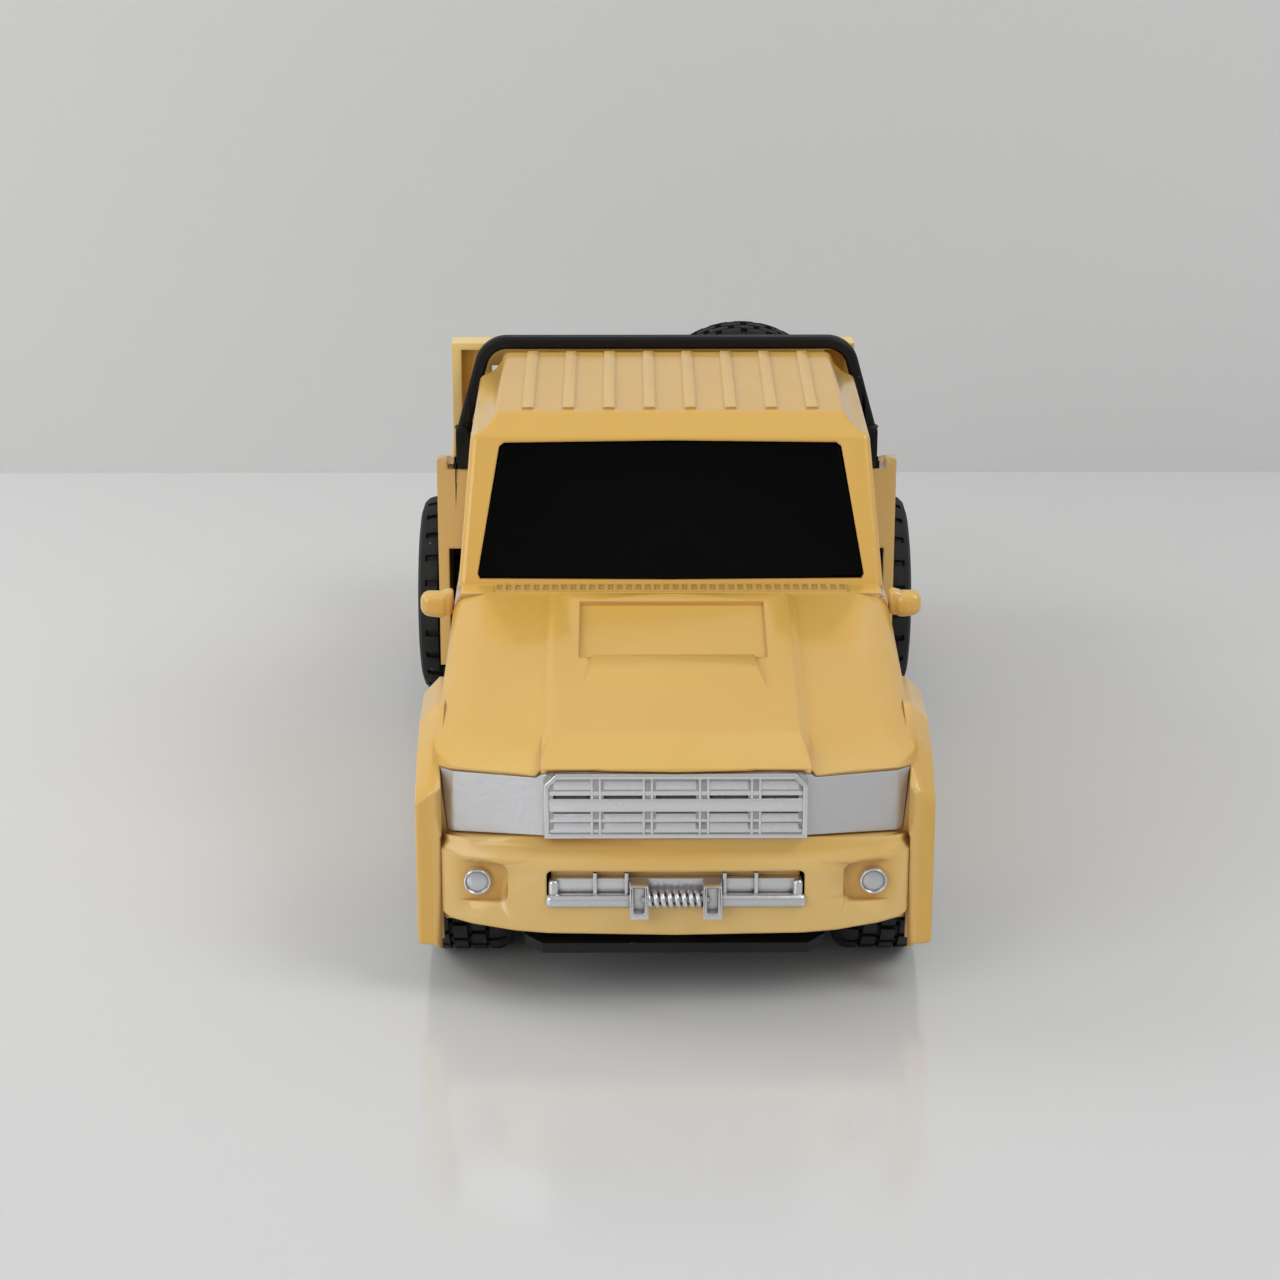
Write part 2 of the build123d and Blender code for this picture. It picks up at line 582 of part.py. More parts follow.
def rim(plane, width, bore):
    """Dished wheel with a hub, a web with six round holes and a rim barrel."""
    half = width / 2 - 1.2
    with BuildPart() as wheel:
        with BuildSketch(plane):
            Polygon((-half, bore), (half - 1.6, bore), (half - 1.6, HUB_R - 0.4), (half - 2.2, HUB_R),
                    (half - 3.2, HUB_R + 0.4), (half - 4.2, RIM_R - 2.6), (half, RIM_R - 1.1), (half, RIM_R),
                    (-half, RIM_R), (-half, RIM_R - 1.1), (half - 6.2, RIM_R - 1.9), (half - 5.4, HUB_R),
                    (-half, HUB_R))
        revolve(axis=Axis(plane.origin, plane.x_dir))
        hole_plane = Plane(origin=plane.origin, x_dir=plane.y_dir, z_dir=plane.x_dir)
        with BuildSketch(hole_plane.offset(-half)):
            with PolarLocations(5.9, 6):
                Circle(1.3)
        extrude(amount=2 * half, mode=Mode.SUBTRACT)
    return wheel


for end, back, wheel_x in (("front", FRONT_AXLE, FRONT_WHEEL_X), ("rear", REAR_AXLE, REAR_WHEEL_X)):
    for side, name in ((1, "left"), (-1, "right")):
        wheel_plane = Plane(origin=(side * wheel_x, back - MIDDLE, TYRE_R), x_dir=(side, 0, 0), z_dir=(0, -side, 0))
        save(tyre(wheel_plane, TYRE_R, TYRE_WIDTH), f"tyre_{end}_{name}")
        save(rim(wheel_plane, TYRE_WIDTH, AXLE_R), f"rim_{end}_{name}")
    with BuildPart() as axle:
        reach = wheel_x + TYRE_WIDTH / 2 - 2.8
        with BuildSketch(side_plane(-reach)):
            with Locations((back, TYRE_R)):
                Circle(AXLE_R)
        extrude(amount=2 * reach)
    save(axle, f"axle_{end}")

# ---------------------------------------------------------------- tow bed
RAIL_DROP = 150.0            # where the sloping side rails meet the deck level
BED_SIDE = [(BED_FRONT, 16), (BED_FRONT, 54.4), (BED_FRONT + 3.6, 54.4), (RAIL_DROP, 43.0), (BED_BACK, 42.2),
            (BED_BACK, 17.5), (BED_BACK - 3, 16)]
REST_BACK = 173.0
GROOVE_BACK = 132.6          # drain groove between the spare wheel and the clear rear deck
GROOVE_DEPTH = 0.4
EAR_X = 6.4
with BuildPart() as tow_bed:
    for side in (-1, 1):
        with BuildSketch(side_plane(side * (BED_HALF - BED_WALL))):
            Polygon(*BED_SIDE)
            with Locations((REAR_AXLE, TYRE_R)):
                Circle(ARCH_R + 0.2, mode=Mode.SUBTRACT)
                Rectangle(2 * ARCH_R + 0.4, 2 * TYRE_R, mode=Mode.SUBTRACT, align=(Align.CENTER, Align.MAX))
        extrude(amount=side * BED_WALL)
    add(prism(level_plane(), [(-BED_HALF + 1, BED_FRONT), (BED_HALF - 1, BED_FRONT), (BED_HALF - 1, BED_BACK),
                              (-BED_HALF + 1, BED_BACK)], DECK_Z - DECK_T, DECK_Z))
    headboard = [(-BED_HALF + 1, BED_FRONT), (BED_HALF - 1, BED_FRONT), (BED_HALF - 1, BED_FRONT + 3.6),
                 (-BED_HALF + 1, BED_FRONT + 3.6)]
    add(prism(level_plane(), headboard, DECK_Z - 1, HEADBOARD_Z))
    tail_panel = [(-BED_HALF + 1, BED_BACK - 1.8), (BED_HALF - 1, BED_BACK - 1.8), (BED_HALF - 1, BED_BACK),
                  (-BED_HALF + 1, BED_BACK)]
    add(prism(level_plane(), tail_panel, 23.0, DECK_Z))
    with BuildSketch(cross_plane(BED_BACK - 6)):
        with GridLocations(6.0, 1, 11, 1):
            with Locations((0, DECK_Z)):
                Rectangle(1.1, 0.8)
    extrude(amount=-5.5, mode=Mode.ADD)
    for x, back in SCREWS[2:]:
        with BuildSketch(level_plane(CHASSIS_Z + PLATE)):
            with Locations((x, back)):
                Circle(BOSS_R)
                Circle(SCREW_R, mode=Mode.SUBTRACT)
        extrude(amount=DECK_Z - DECK_T - CHASSIS_Z - PLATE)
    for x in (-EAR_X, EAR_X):
        with BuildSketch(side_plane(x - 1.1)):
            Polygon((BOOM_PIVOT[0] - 7, DECK_Z - 0.5), (BOOM_PIVOT[0] - 2.6, BOOM_PIVOT[1] + 2),
                    (BOOM_PIVOT[0] - 1.2, BOOM_PIVOT[1] + 3), (BOOM_PIVOT[0] + 1.2, BOOM_PIVOT[1] + 3),
                    (BOOM_PIVOT[0] + 2.6, BOOM_PIVOT[1] + 2), (BOOM_PIVOT[0] + 7, DECK_Z - 0.5))
        extrude(amount=2.2)
        with BuildSketch(side_plane(x - 2)):
            with Locations(BOOM_PIVOT):
                Circle(PIN_R)
        extrude(amount=4, mode=Mode.SUBTRACT)
    rest_points = [(REST_BACK - 2.2, DECK_Z - 0.5), (REST_BACK + 2.2, DECK_Z - 0.5), (REST_BACK + 1.4, 46.9),
                   (REST_BACK - 1.4, 46.9)]
    add(prism(side_plane(), rest_points, -3, 3))
    with BuildSketch(level_plane(DECK_Z - GROOVE_DEPTH)):
        with Locations((0, GROOVE_BACK)):
            Rectangle(2 * (BED_HALF - BED_WALL), 1.0)
    extrude(amount=GROOVE_DEPTH + 1, mode=Mode.SUBTRACT)
    for side in (-1, 1):
        with BuildSketch(level_plane(HEADBOARD_Z - 4)):
            with Locations((side * HOOP_PEG_X, HOOP_BACK)):
                Circle(HOOP_PEG_R + 0.02)
        extrude(amount=6, mode=Mode.SUBTRACT)
    for x in (GANTRY_X[0] + 3.5, GANTRY_X[1] - 3.5):
        with BuildSketch(level_plane(DECK_Z - 3)):
            with Locations((x, GANTRY_FRONT + GANTRY_DEPTH / 2)):
                Rectangle(3.0, 2.0)
        extrude(amount=6, mode=Mode.SUBTRACT)
save(tow_bed, "tow_bed")

TAIL_LAMP = (33.6, 31.0)
for side, label in ((-1, "tail_lamp_right"), (1, "tail_lamp_left")):
    with BuildPart() as tail_lamp:
        with BuildSketch(cross_plane(BED_BACK)):
            with Locations((side * TAIL_LAMP[0], TAIL_LAMP[1])):
                RectangleRounded(8.4, 4.6, 0.8)
        extrude(amount=-0.9)
        chamfer(tail_lamp.faces().sort_by(Axis.Y)[-1].edges(), 0.3)
    save(tail_lamp, label)

with BuildPart() as rear_bumper:
    with BuildSketch(level_plane(14.2)):
        Polygon((-37, CHASSIS_BACK + 0.1), (37, CHASSIS_BACK + 0.1), (37, 187.4), (33, 189.4), (-33, 189.4),
                (-37, 187.4))
    extrude(amount=6.4)
    fillet(rear_bumper.edges().filter_by(Axis.Z), 0.7)
    chamfer(rear_bumper.faces().sort_by(Axis.Z)[-1].edges(), 0.4)
    for x in (-LIFT_EAR_X, LIFT_EAR_X):
        with BuildSketch(side_plane(x - 1.15)):
            Polygon((CHASSIS_BACK - 5, 5), (200, 5), (200, 15.15), (CHASSIS_BACK - 5, 15.15))
        extrude(amount=2.3, mode=Mode.SUBTRACT)
save(rear_bumper, "rear_bumper")

# ---------------------------------------------------------------- roll hoop
with BuildPart() as roll_hoop:
    with BuildSketch(cross_plane(HOOP_BACK - 1.3)):
        with BuildLine():
            FilletPolyline((-36.3, HEADBOARD_Z), (-35.9, 60.3), (-31.6, HOOP_TOP), (31.6, HOOP_TOP), (35.9, 60.3),
                           (36.3, HEADBOARD_Z), radius=4.6)
        trace(line_width=HOOP_BAR)
    extrude(amount=-2.6)
    with BuildSketch(level_plane(HEADBOARD_Z)):
        Rectangle(2 * WIDE, 900)
    extrude(amount=WIDE, mode=Mode.INTERSECT)
    for side in (-1, 1):
        with BuildSketch(cross_plane(HOOP_BACK - 1.9)):
            Polygon((side * 34.6, HEADBOARD_Z), (side * 36.9, HEADBOARD_Z), (side * 37.3, 54.4), (side * 37.3, 60.3),
                    (side * 34.9, 60.3))
        extrude(amount=-3.6)
        with BuildSketch(level_plane(HEADBOARD_Z - 3.8)):
            with Locations((side * HOOP_PEG_X, HOOP_BACK)):
                Circle(HOOP_PEG_R)
        extrude(amount=4)
save(roll_hoop, "roll_hoop")

# ---------------------------------------------------------------- gantry behind the hoop
with BuildPart() as gantry:
    middle_x = (GANTRY_X[0] + GANTRY_X[1]) / 2
    with BuildSketch(cross_plane(GANTRY_FRONT)):
        with Locations((middle_x, DECK_Z)):
            Rectangle(GANTRY_X[1] - GANTRY_X[0], GANTRY_TOP - DECK_Z, align=(Align.CENTER, Align.MIN))
            opening = GANTRY_X[1] - GANTRY_X[0] - 2 * POST_WIDTH
            Rectangle(opening, GANTRY_TOP - DECK_Z - 4.0, align=(Align.CENTER, Align.MIN), mode=Mode.SUBTRACT)
        with Locations((middle_x, CROSSBAR_Z)):
            Rectangle(GANTRY_X[1] - GANTRY_X[0] - 1, 4.4)
    extrude(amount=-GANTRY_DEPTH)
    for x in (GANTRY_X[0] + POST_WIDTH / 2, GANTRY_X[1] - POST_WIDTH / 2):
        with BuildSketch(cross_plane(GANTRY_FRONT - 1)):
            with Locations((x, DECK_Z + 3)):
                Rectangle(POST_WIDTH - 3.4, GANTRY_TOP - DECK_Z - 4.2, align=(Align.CENTER, Align.MIN))
        extrude(amount=-1 - GANTRY_DEPTH + 1.4, mode=Mode.SUBTRACT)
    with BuildSketch(cross_plane(GANTRY_FRONT - 1)):
        with Locations((SPARE_X, CROSSBAR_Z)):
            Circle(PIN_R + 0.02)
    extrude(amount=-GANTRY_DEPTH - 2, mode=Mode.SUBTRACT)
    for x in (GANTRY_X[0] + 3.5, GANTRY_X[1] - 3.5):
        with BuildSketch(level_plane(DECK_Z - DECK_T + 0.05)):
            with Locations((x, GANTRY_FRONT + GANTRY_DEPTH / 2)):
                Rectangle(2.9, 1.9)
        extrude(amount=2)
save(gantry, "gantry")

# ---------------------------------------------------------------- spare wheel
spare_plane = Plane(origin=(SPARE_X, SPARE_BACK - MIDDLE, CROSSBAR_Z), x_dir=(0, 1, 0), z_dir=(1, 0, 0))
save(tyre(spare_plane, SPARE_R, SPARE_WIDTH), "spare_tyre")
save(rim(spare_plane, SPARE_WIDTH, PIN_R), "spare_rim")
with BuildPart() as spare_bolt:
    bolt_end = SPARE_BACK + SPARE_WIDTH / 2 - 2.75
    with BuildSketch(cross_plane(GANTRY_FRONT + 0.3)):
        with Locations((SPARE_X, CROSSBAR_Z)):
            Circle(PIN_R)
    extrude(amount=-(bolt_end - GANTRY_FRONT + 0.7))
    with BuildSketch(cross_plane(bolt_end)):
        with Locations((SPARE_X, CROSSBAR_Z)):
            RegularPolygon(2.3, 6)
    extrude(amount=-1.6)
save(spare_bolt, "spare_bolt")

# ---------------------------------------------------------------- tow boom
BOOM_ANGLE = atan2(BOOM_TIP[1] - BOOM_PIVOT[1], BOOM_TIP[0] - BOOM_PIVOT[0])
BOOM_HALF = 5.1
FORK_X = 1.7                 # half-width of the slot that the hook swings in
FORK_START = 181.9
boom_side = [(BOOM_PIVOT[0] - 2.6, BOOM_PIVOT[1] - 2.0), (BOOM_PIVOT[0] + 2, BOOM_PIVOT[1] - 2.9), (166, 45.9),
             (BOOM_TIP[0] - 4, BOOM_TIP[1] - 2.6), (BOOM_TIP[0] + 1.0, BOOM_TIP[1] - 2.2),
             (BOOM_TIP[0] + 2.3, BOOM_TIP[1]), (BOOM_TIP[0] + 1.0, BOOM_TIP[1] + 2.2),
             (BOOM_TIP[0] - 4, BOOM_TIP[1] + 2.2), (166, 54.2), (BOOM_PIVOT[0] + 3, BOOM_PIVOT[1] + 3.6),
             (BOOM_PIVOT[0] - 1.4, BOOM_PIVOT[1] + 2.8)]
boom_plan = both_sides([(0, 136), (BOOM_HALF, 136), (BOOM_HALF, 152), (3.3, 180), (3.3, 196), (0, 196)])
with BuildPart() as tow_boom:
    add(prism(side_plane(), boom_side, -WIDE, WIDE))
    add(prism(level_plane(), boom_plan, 0, 90), mode=Mode.INTERSECT)
    with BuildSketch(side_plane(-WIDE)):
        Polygon((152, 47.6), (164, 48.0), (158, 51.6))
        Polygon((161.5, 51.8), (167, 48.0), (172.5, 51.8))
        Polygon((170.5, 48.4), (179.6, 49.8), (175.4, 51.6))
    extrude(amount=2 * WIDE, mode=Mode.SUBTRACT)
    with BuildSketch(level_plane(40)):
        Polygon((-FORK_X, FORK_START), (FORK_X, FORK_START), (FORK_X, 200), (-FORK_X, 200))
        Polygon((-2.4, 134), (2.4, 134), (2.4, 147.5), (-2.4, 147.5))
    extrude(amount=30, mode=Mode.SUBTRACT)
    for point, clearance in ((BOOM_PIVOT, RUNNING), (BOOM_TIP, 0)):
        with BuildSketch(side_plane(-WIDE)):
            with Locations(point):
                Circle(PIN_R + clearance)
        extrude(amount=2 * WIDE, mode=Mode.SUBTRACT)
save(tow_boom, "tow_boom")


def cross_pin(point, half_length):
    """Steel pin across the truck with a low head at each end."""
    with BuildPart() as pin:
        with BuildSketch(side_plane(-half_length)):
            with Locations(point):
                Circle(PIN_R)
        extrude(amount=2 * half_length)
        for side in (-1, 1):
            with BuildSketch(side_plane(side * half_length)):
                with Locations(point):
                    Circle(PIN_R + 0.6)
            extrude(amount=side * 0.6)
    return pin


save(cross_pin(BOOM_PIVOT, EAR_X + 1.1), "boom_pin")
save(cross_pin(BOOM_TIP, 3.3), "hook_pin")
save(cross_pin(LIFT_PIVOT, LIFT_EAR_X + 1.0), "lift_pin")

# ---------------------------------------------------------------- tow hook
HOOK_T = 2.6
with BuildPart() as tow_hook:
    with BuildSketch(side_plane(-HOOK_T / 2)):
        with Locations(BOOM_TIP):
            Circle(2.3)
        with BuildLine():
            shank = Line((BOOM_TIP[0], BOOM_TIP[1] - 1.5), (BOOM_TIP[0], BOOM_TIP[1] - 4.6))
            lead = ThreePointArc(shank @ 1, (BOOM_TIP[0] - 3.0, BOOM_TIP[1] - 7.8),
                                 (BOOM_TIP[0], BOOM_TIP[1] - HOOK_REACH + 1.1))
            ThreePointArc(lead @ 1, (BOOM_TIP[0] + 2.6, BOOM_TIP[1] - 9.7), (BOOM_TIP[0] + 2.9, BOOM_TIP[1] - 7.2))
        trace(line_width=2.1)
        with Locations(BOOM_TIP):
            Circle(PIN_R + RUNNING, mode=Mode.SUBTRACT)
    extrude(amount=HOOK_T)
save(tow_hook, "tow_hook")

# ---------------------------------------------------------------- wheel lift
ARM_HALF = 3.6
FORK_HALF = 16.5
with BuildPart() as wheel_lift:
    with BuildSketch(side_plane(-ARM_HALF)):
        with Locations(LIFT_PIVOT):
            Circle(2.4)
        Polygon((LIFT_PIVOT[0] - 1.7, LIFT_PIVOT[1]), (LIFT_PIVOT[0] + 1.9, LIFT_PIVOT[1]),
                (LIFT_PIVOT[0] + 1.9, LIFT_TOP), (LIFT_PIVOT[0] - 1.7, LIFT_TOP))
    extrude(amount=2 * ARM_HALF)
    with BuildSketch(side_plane(-FORK_HALF)):
        with Locations((LIFT_PIVOT[0] + 0.1, LIFT_TOP - 1.8)):
            Rectangle(3.6, 3.6)
    extrude(amount=2 * FORK_HALF)
    for side in (-1, 1):
        with BuildSketch(level_plane(LIFT_TOP - 3.6)):
            with Locations((side * (FORK_HALF - 1.6), LIFT_PIVOT[0] + 1.35)):
                Rectangle(3.2, 6.1)
        extrude(amount=8.4)
    with BuildSketch(side_plane(-WIDE)):
        with Locations(LIFT_PIVOT):
            Circle(PIN_R + RUNNING)
    extrude(amount=2 * WIDE, mode=Mode.SUBTRACT)
save(wheel_lift, "wheel_lift")
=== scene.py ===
"""Looks of the toy tow truck: moulded panels, tyres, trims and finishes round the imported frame.

Everything is in metres in the truck's own frame: -Y is the front, +Z is up, and the origin is
on the ground under the middle. Sizes written with MM are millimetres.
"""

import json
import logging
import math
from dataclasses import dataclass
from enum import Enum
from typing import Callable, Sequence

import bpy
from mathutils import Matrix, Vector


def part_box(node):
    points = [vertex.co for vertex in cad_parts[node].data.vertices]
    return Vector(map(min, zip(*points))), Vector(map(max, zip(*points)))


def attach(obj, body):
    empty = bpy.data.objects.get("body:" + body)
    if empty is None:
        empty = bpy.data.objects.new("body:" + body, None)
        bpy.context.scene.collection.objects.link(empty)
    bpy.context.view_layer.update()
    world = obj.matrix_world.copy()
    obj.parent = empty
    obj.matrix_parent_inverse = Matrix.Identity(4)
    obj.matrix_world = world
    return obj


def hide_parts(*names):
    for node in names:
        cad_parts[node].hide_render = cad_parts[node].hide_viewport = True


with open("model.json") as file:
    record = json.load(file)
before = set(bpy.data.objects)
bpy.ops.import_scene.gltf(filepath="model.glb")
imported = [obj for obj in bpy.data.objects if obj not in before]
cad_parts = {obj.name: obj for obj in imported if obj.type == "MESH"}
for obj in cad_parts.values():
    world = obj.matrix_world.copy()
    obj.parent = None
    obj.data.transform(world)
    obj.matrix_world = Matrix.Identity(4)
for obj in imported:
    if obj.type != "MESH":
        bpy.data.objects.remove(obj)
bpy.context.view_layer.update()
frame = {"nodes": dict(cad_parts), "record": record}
LOG = logging.getLogger("tow_truck")
Piece = bpy.types.Object
Socket = bpy.types.NodeSocket
MM = 0.001
SNAP = 1e-5
CAD_MERGE = 6e-6
BODY = "truck"
FaceTest = Callable[[Vector, Vector], bool]
EdgeTest = Callable[[Vector, Vector], bool]


# ------------------------------------------------------------------ workshop: mesh tools
def clear_selection() -> None:
    """Leave edit mode and deselect every object."""
    if bpy.context.object and bpy.context.object.mode != "OBJECT":
        bpy.ops.object.mode_set(mode="OBJECT")
    bpy.ops.object.select_all(action="DESELECT")


def take(piece: Piece) -> Piece:
    """Make one object the only selected and active one.

    Args:
        piece: The object to work on.

    Returns:
        The same object.
    """
    clear_selection()
    piece.select_set(True)
    bpy.context.view_layer.objects.active = piece
    return piece


def name_new(name: str) -> Piece:
    """Name the primitive that was just added and settle its place into its mesh.

    Args:
        name: The piece's name.

    Returns:
        The named object, at the origin, unturned and unscaled.
    """
    piece = bpy.context.object
    piece.name = name
    piece.data.name = name
    bpy.ops.object.transform_apply(location=True, rotation=True, scale=True)
    return piece


def add_block(name: str, low: Sequence[float], high: Sequence[float]) -> Piece:
    """Add a box between two corners, as the start of a piece.

    Args:
        name: The piece's name.
        low: Lowest corner in metres.
        high: Highest corner in metres.

    Returns:
        The new object.
    """
    clear_selection()
    middle = [(a + b) / 2 for a, b in zip(low, high)]
    bpy.ops.mesh.primitive_cube_add(size=1, location=middle)
    bpy.context.object.scale = [b - a for a, b in zip(low, high)]
    return name_new(name)


def leave_edit() -> None:
    """Go back to object mode."""
    bpy.ops.object.mode_set(mode="OBJECT")


def open_all(piece: Piece) -> None:
    """Open a piece in edit mode with everything selected.

    Args:
        piece: The mesh object.
    """
    take(piece)
    bpy.ops.object.mode_set(mode="EDIT")
    bpy.ops.mesh.select_all(action="SELECT")


def pick(piece: Piece, kind: str, wanted: Callable[[object], bool]) -> None:
    """Select the wanted faces or edges, and nothing else, and go into edit mode.

    Args:
        piece: The mesh object.
        kind: FACE or EDGE.
        wanted: Takes one of the mesh's faces or edges and says whether it is wanted.
    """
    take(piece)
    bpy.ops.object.mode_set(mode="EDIT")
    bpy.ops.mesh.select_mode(type=kind)
    bpy.ops.mesh.select_all(action="DESELECT")
    leave_edit()
    for item in piece.data.polygons if kind == "FACE" else piece.data.edges:
        item.select = wanted(item)
    bpy.ops.object.mode_set(mode="EDIT")


def pick_faces(piece: Piece, test: FaceTest) -> None:
    """Select the faces whose centre and normal pass a test, in edit mode."""
    pick(piece, "FACE", lambda face: bool(test(face.center, face.normal)))


def pick_edges(piece: Piece, test: EdgeTest) -> None:
    """Select the edges whose two ends pass a test, in edit mode."""
    pick(piece, "EDGE", lambda edge: bool(test(*(piece.data.vertices[end].co for end in edge.vertices))))


def round_edges(piece: Piece, width: float, segments: int = 2, angle: float = 28.0,
                smooth: float = 35.0, clamp: bool = False) -> Piece:
    """Round a piece's sharp edges with an applied bevel and smooth its shading.

    Args:
        piece: The mesh object.
        width: Width of the rounding in metres.
        segments: Steps across the rounding.
        angle: Edges sharper than this many degrees are rounded.
        smooth: Edges flatter than this many degrees are shaded smooth.
        clamp: Whether the rounding shrinks rather than cross itself.

    Returns:
        The same object.
    """
    take(piece)
    bevel = piece.modifiers.new("rounding", "BEVEL")
    bevel.width = width
    bevel.segments = segments
    bevel.limit_method = "ANGLE"
    bevel.angle_limit = math.radians(angle)
    bevel.use_clamp_overlap = clamp
    bevel.miter_outer = "MITER_ARC"
    bevel.harden_normals = False
    bpy.ops.object.modifier_apply(modifier=bevel.name)
    bpy.ops.object.shade_smooth_by_angle(angle=math.radians(smooth))
    return piece


def mend(piece: Piece, reach: float = 1e-6) -> Piece:
    """Merge a piece's doubled points and turn its faces outwards.

    Args:
        piece: The mesh object.
        reach: Points nearer than this are merged.

    Returns:
        The same object.
    """
    open_all(piece)
    bpy.ops.mesh.remove_doubles(threshold=reach)
    bpy.ops.mesh.normals_make_consistent(inside=False)
    leave_edit()
    return piece


def copy_piece(piece: Piece, name: str, move: Matrix) -> Piece:
    """Copy a piece with its own mesh, moved in its mesh.

    Args:
        piece: The object to copy.
        name: The copy's name.
        move: The move, applied to the copy's points.

    Returns:
        The copy.
    """
    twin = piece.copy()
    twin.data = piece.data.copy()
    twin.name = name
    twin.data.name = name
    bpy.context.collection.objects.link(twin)
    twin.data.transform(move)
    twin.data.update()
    return twin


def join_pieces(pieces: Sequence[Piece], name: str) -> Piece:
    """Join several meshes of one moulding into one piece.

    Args:
        pieces: The meshes to join.
        name: The joined piece's name.

    Returns:
        The joined object.
    """
    take(pieces[0])
    for piece in pieces[1:]:
        piece.select_set(True)
    bpy.ops.object.join()
    bpy.context.object.name = name
    return bpy.context.object


def even_shading(piece: Piece) -> Piece:
    """Let large faces set the shading where they meet small ones, so that flats stay flat.

    Args:
        piece: The mesh object.

    Returns:
        The same object.
    """
    take(piece)
    weigh = piece.modifiers.new("weigh", "WEIGHTED_NORMAL")
    weigh.mode = "FACE_AREA"
    weigh.weight = 100
    weigh.keep_sharp = True
    bpy.ops.object.modifier_apply(modifier=weigh.name)
    return piece


def from_cad(node: str, smooth: float = 32.0) -> Piece:
    """Copy a CAD node's mesh, merge its loose triangles and shade its curves smooth.

    Args:
        node: The CAD node's name.
        smooth: Edges flatter than this many degrees are shaded smooth.

    Returns:
        The new object, which stands for the node.
    """
    source = frame["nodes"][node]
    piece = source.copy()
    piece.data = source.data.copy()
    piece.parent = None
    piece.matrix_world = Matrix.Identity(4)
    piece.name = f"{node}_moulding"
    piece.data.name = piece.name
    bpy.context.collection.objects.link(piece)
    open_all(piece)
    bpy.ops.mesh.remove_doubles(threshold=CAD_MERGE)
    leave_edit()
    bpy.ops.object.shade_smooth_by_angle(angle=math.radians(smooth))
    return even_shading(piece)


def lathe(name: str, outline: Sequence[tuple[float, float]], steps: int) -> Piece:
    """Draw an outline point by point and spin it a full turn about the X axis.

    Args:
        name: The piece's name.
        outline: Points as (place along X, distance from the axis), in metres.
        steps: How many steps the turn takes.

    Returns:
        The closed, outward-facing object.
    """
    clear_selection()
    bpy.ops.mesh.primitive_plane_add(size=MM)
    piece = name_new(name)
    bpy.ops.object.mode_set(mode="EDIT")
    bpy.ops.mesh.select_mode(type="VERT")
    bpy.ops.mesh.select_all(action="SELECT")
    bpy.ops.mesh.merge(type="CENTER")
    bpy.ops.transform.translate(value=(outline[0][0], 0.0, outline[0][1]))
    for first, second in zip(outline, outline[1:]):
        step = (second[0] - first[0], 0.0, second[1] - first[1])
        bpy.ops.mesh.extrude_region_move(TRANSFORM_OT_translate={"value": step})
    bpy.ops.mesh.select_all(action="SELECT")
    bpy.ops.mesh.spin(steps=steps, angle=2 * math.pi, center=(0, 0, 0), axis=(1, 0, 0))
    leave_edit()
    return mend(piece)


def sink_faces(piece: Piece, test: FaceTest, rim: float, move: Sequence[float]) -> None:
    """Inset chosen faces and move the middle in or out.

    Args:
        piece: The mesh object.
        test: Picks the faces.
        rim: Width of the rim that stays, in metres.
        move: How far the middle moves.
    """
    pick_faces(piece, test)
    if rim:
        bpy.ops.mesh.inset(thickness=rim, depth=0.0)
    bpy.ops.mesh.extrude_region_move(TRANSFORM_OT_translate={"value": tuple(move)})
    leave_edit()


def turn_about_x(point: Vector) -> float:
    """Angle of a point about the X axis, in turns from 0 to 1."""
    return (math.atan2(point.z, point.y) / (2 * math.pi)) % 1.0


# ------------------------------------------------------------------ shader node groups
class NodeBoard:
    """A small helper that adds and wires nodes in one tree."""

    def __init__(self, tree: bpy.types.NodeTree) -> None:
        """Keep the tree that nodes go into."""
        self.tree = tree

    def add(self, kind: str, **settings: object) -> bpy.types.Node:
        """Add a node and set its properties.

        Args:
            kind: The node's type name.
            **settings: Properties, or inputs by name where the node has no such property.

        Returns:
            The new node.
        """
        node = self.tree.nodes.new(kind)
        for key, value in settings.items():
            if hasattr(node, key):
                setattr(node, key, value)
            else:
                node.inputs[key.replace("_", " ")].default_value = value
        return node

    def wire(self, source: Socket, target: Socket) -> None:
        """Join an output to an input."""
        self.tree.links.new(source, target)

    def feed(self, value: object, socket: Socket) -> None:
        """Give an input an output to follow, or a fixed value.

        Args:
            value: The output or the fixed value.
            socket: The input.
        """
        if isinstance(value, Socket):
            self.wire(value, socket)
        else:
            socket.default_value = value

    def ramp(self, source: Socket, low: float, high: float) -> Socket:
        """Stretch a value between two limits to 0 and 1.

        Args:
            source: The value's output.
            low: The value that becomes 0.
            high: The value that becomes 1.

        Returns:
            The stretched value's output.
        """
        node = self.add("ShaderNodeMapRange")
        node.inputs["From Min"].default_value = low
        node.inputs["From Max"].default_value = high
        self.wire(source, node.inputs["Value"])
        return node.outputs["Result"]

    def math(self, operation: str, first: object, second: object = 0.0) -> Socket:
        """Combine two values, each an output or a number.

        Args:
            operation: Blender's name of the operation.
            first: The first value.
            second: The second value.

        Returns:
            The result's output.
        """
        node = self.add("ShaderNodeMath", operation=operation)
        self.feed(first, node.inputs[0])
        self.feed(second, node.inputs[1])
        return node.outputs[0]

    def blend(self, share: object, first: object, second: object) -> Socket:
        """Mix two colours.

        Args:
            share: How much of the second, an output or a number.
            first: The first colour, an output or a tuple.
            second: The second colour, an output or a tuple.

        Returns:
            The mixed colour's output.
        """
        node = self.add("ShaderNodeMix", data_type="RGBA")
        factor, _, _, _, _, _, color_a, color_b = node.inputs[:8]
        self.feed(share, factor)
        self.feed(first, color_a)
        self.feed(second, color_b)
        return node.outputs[2]


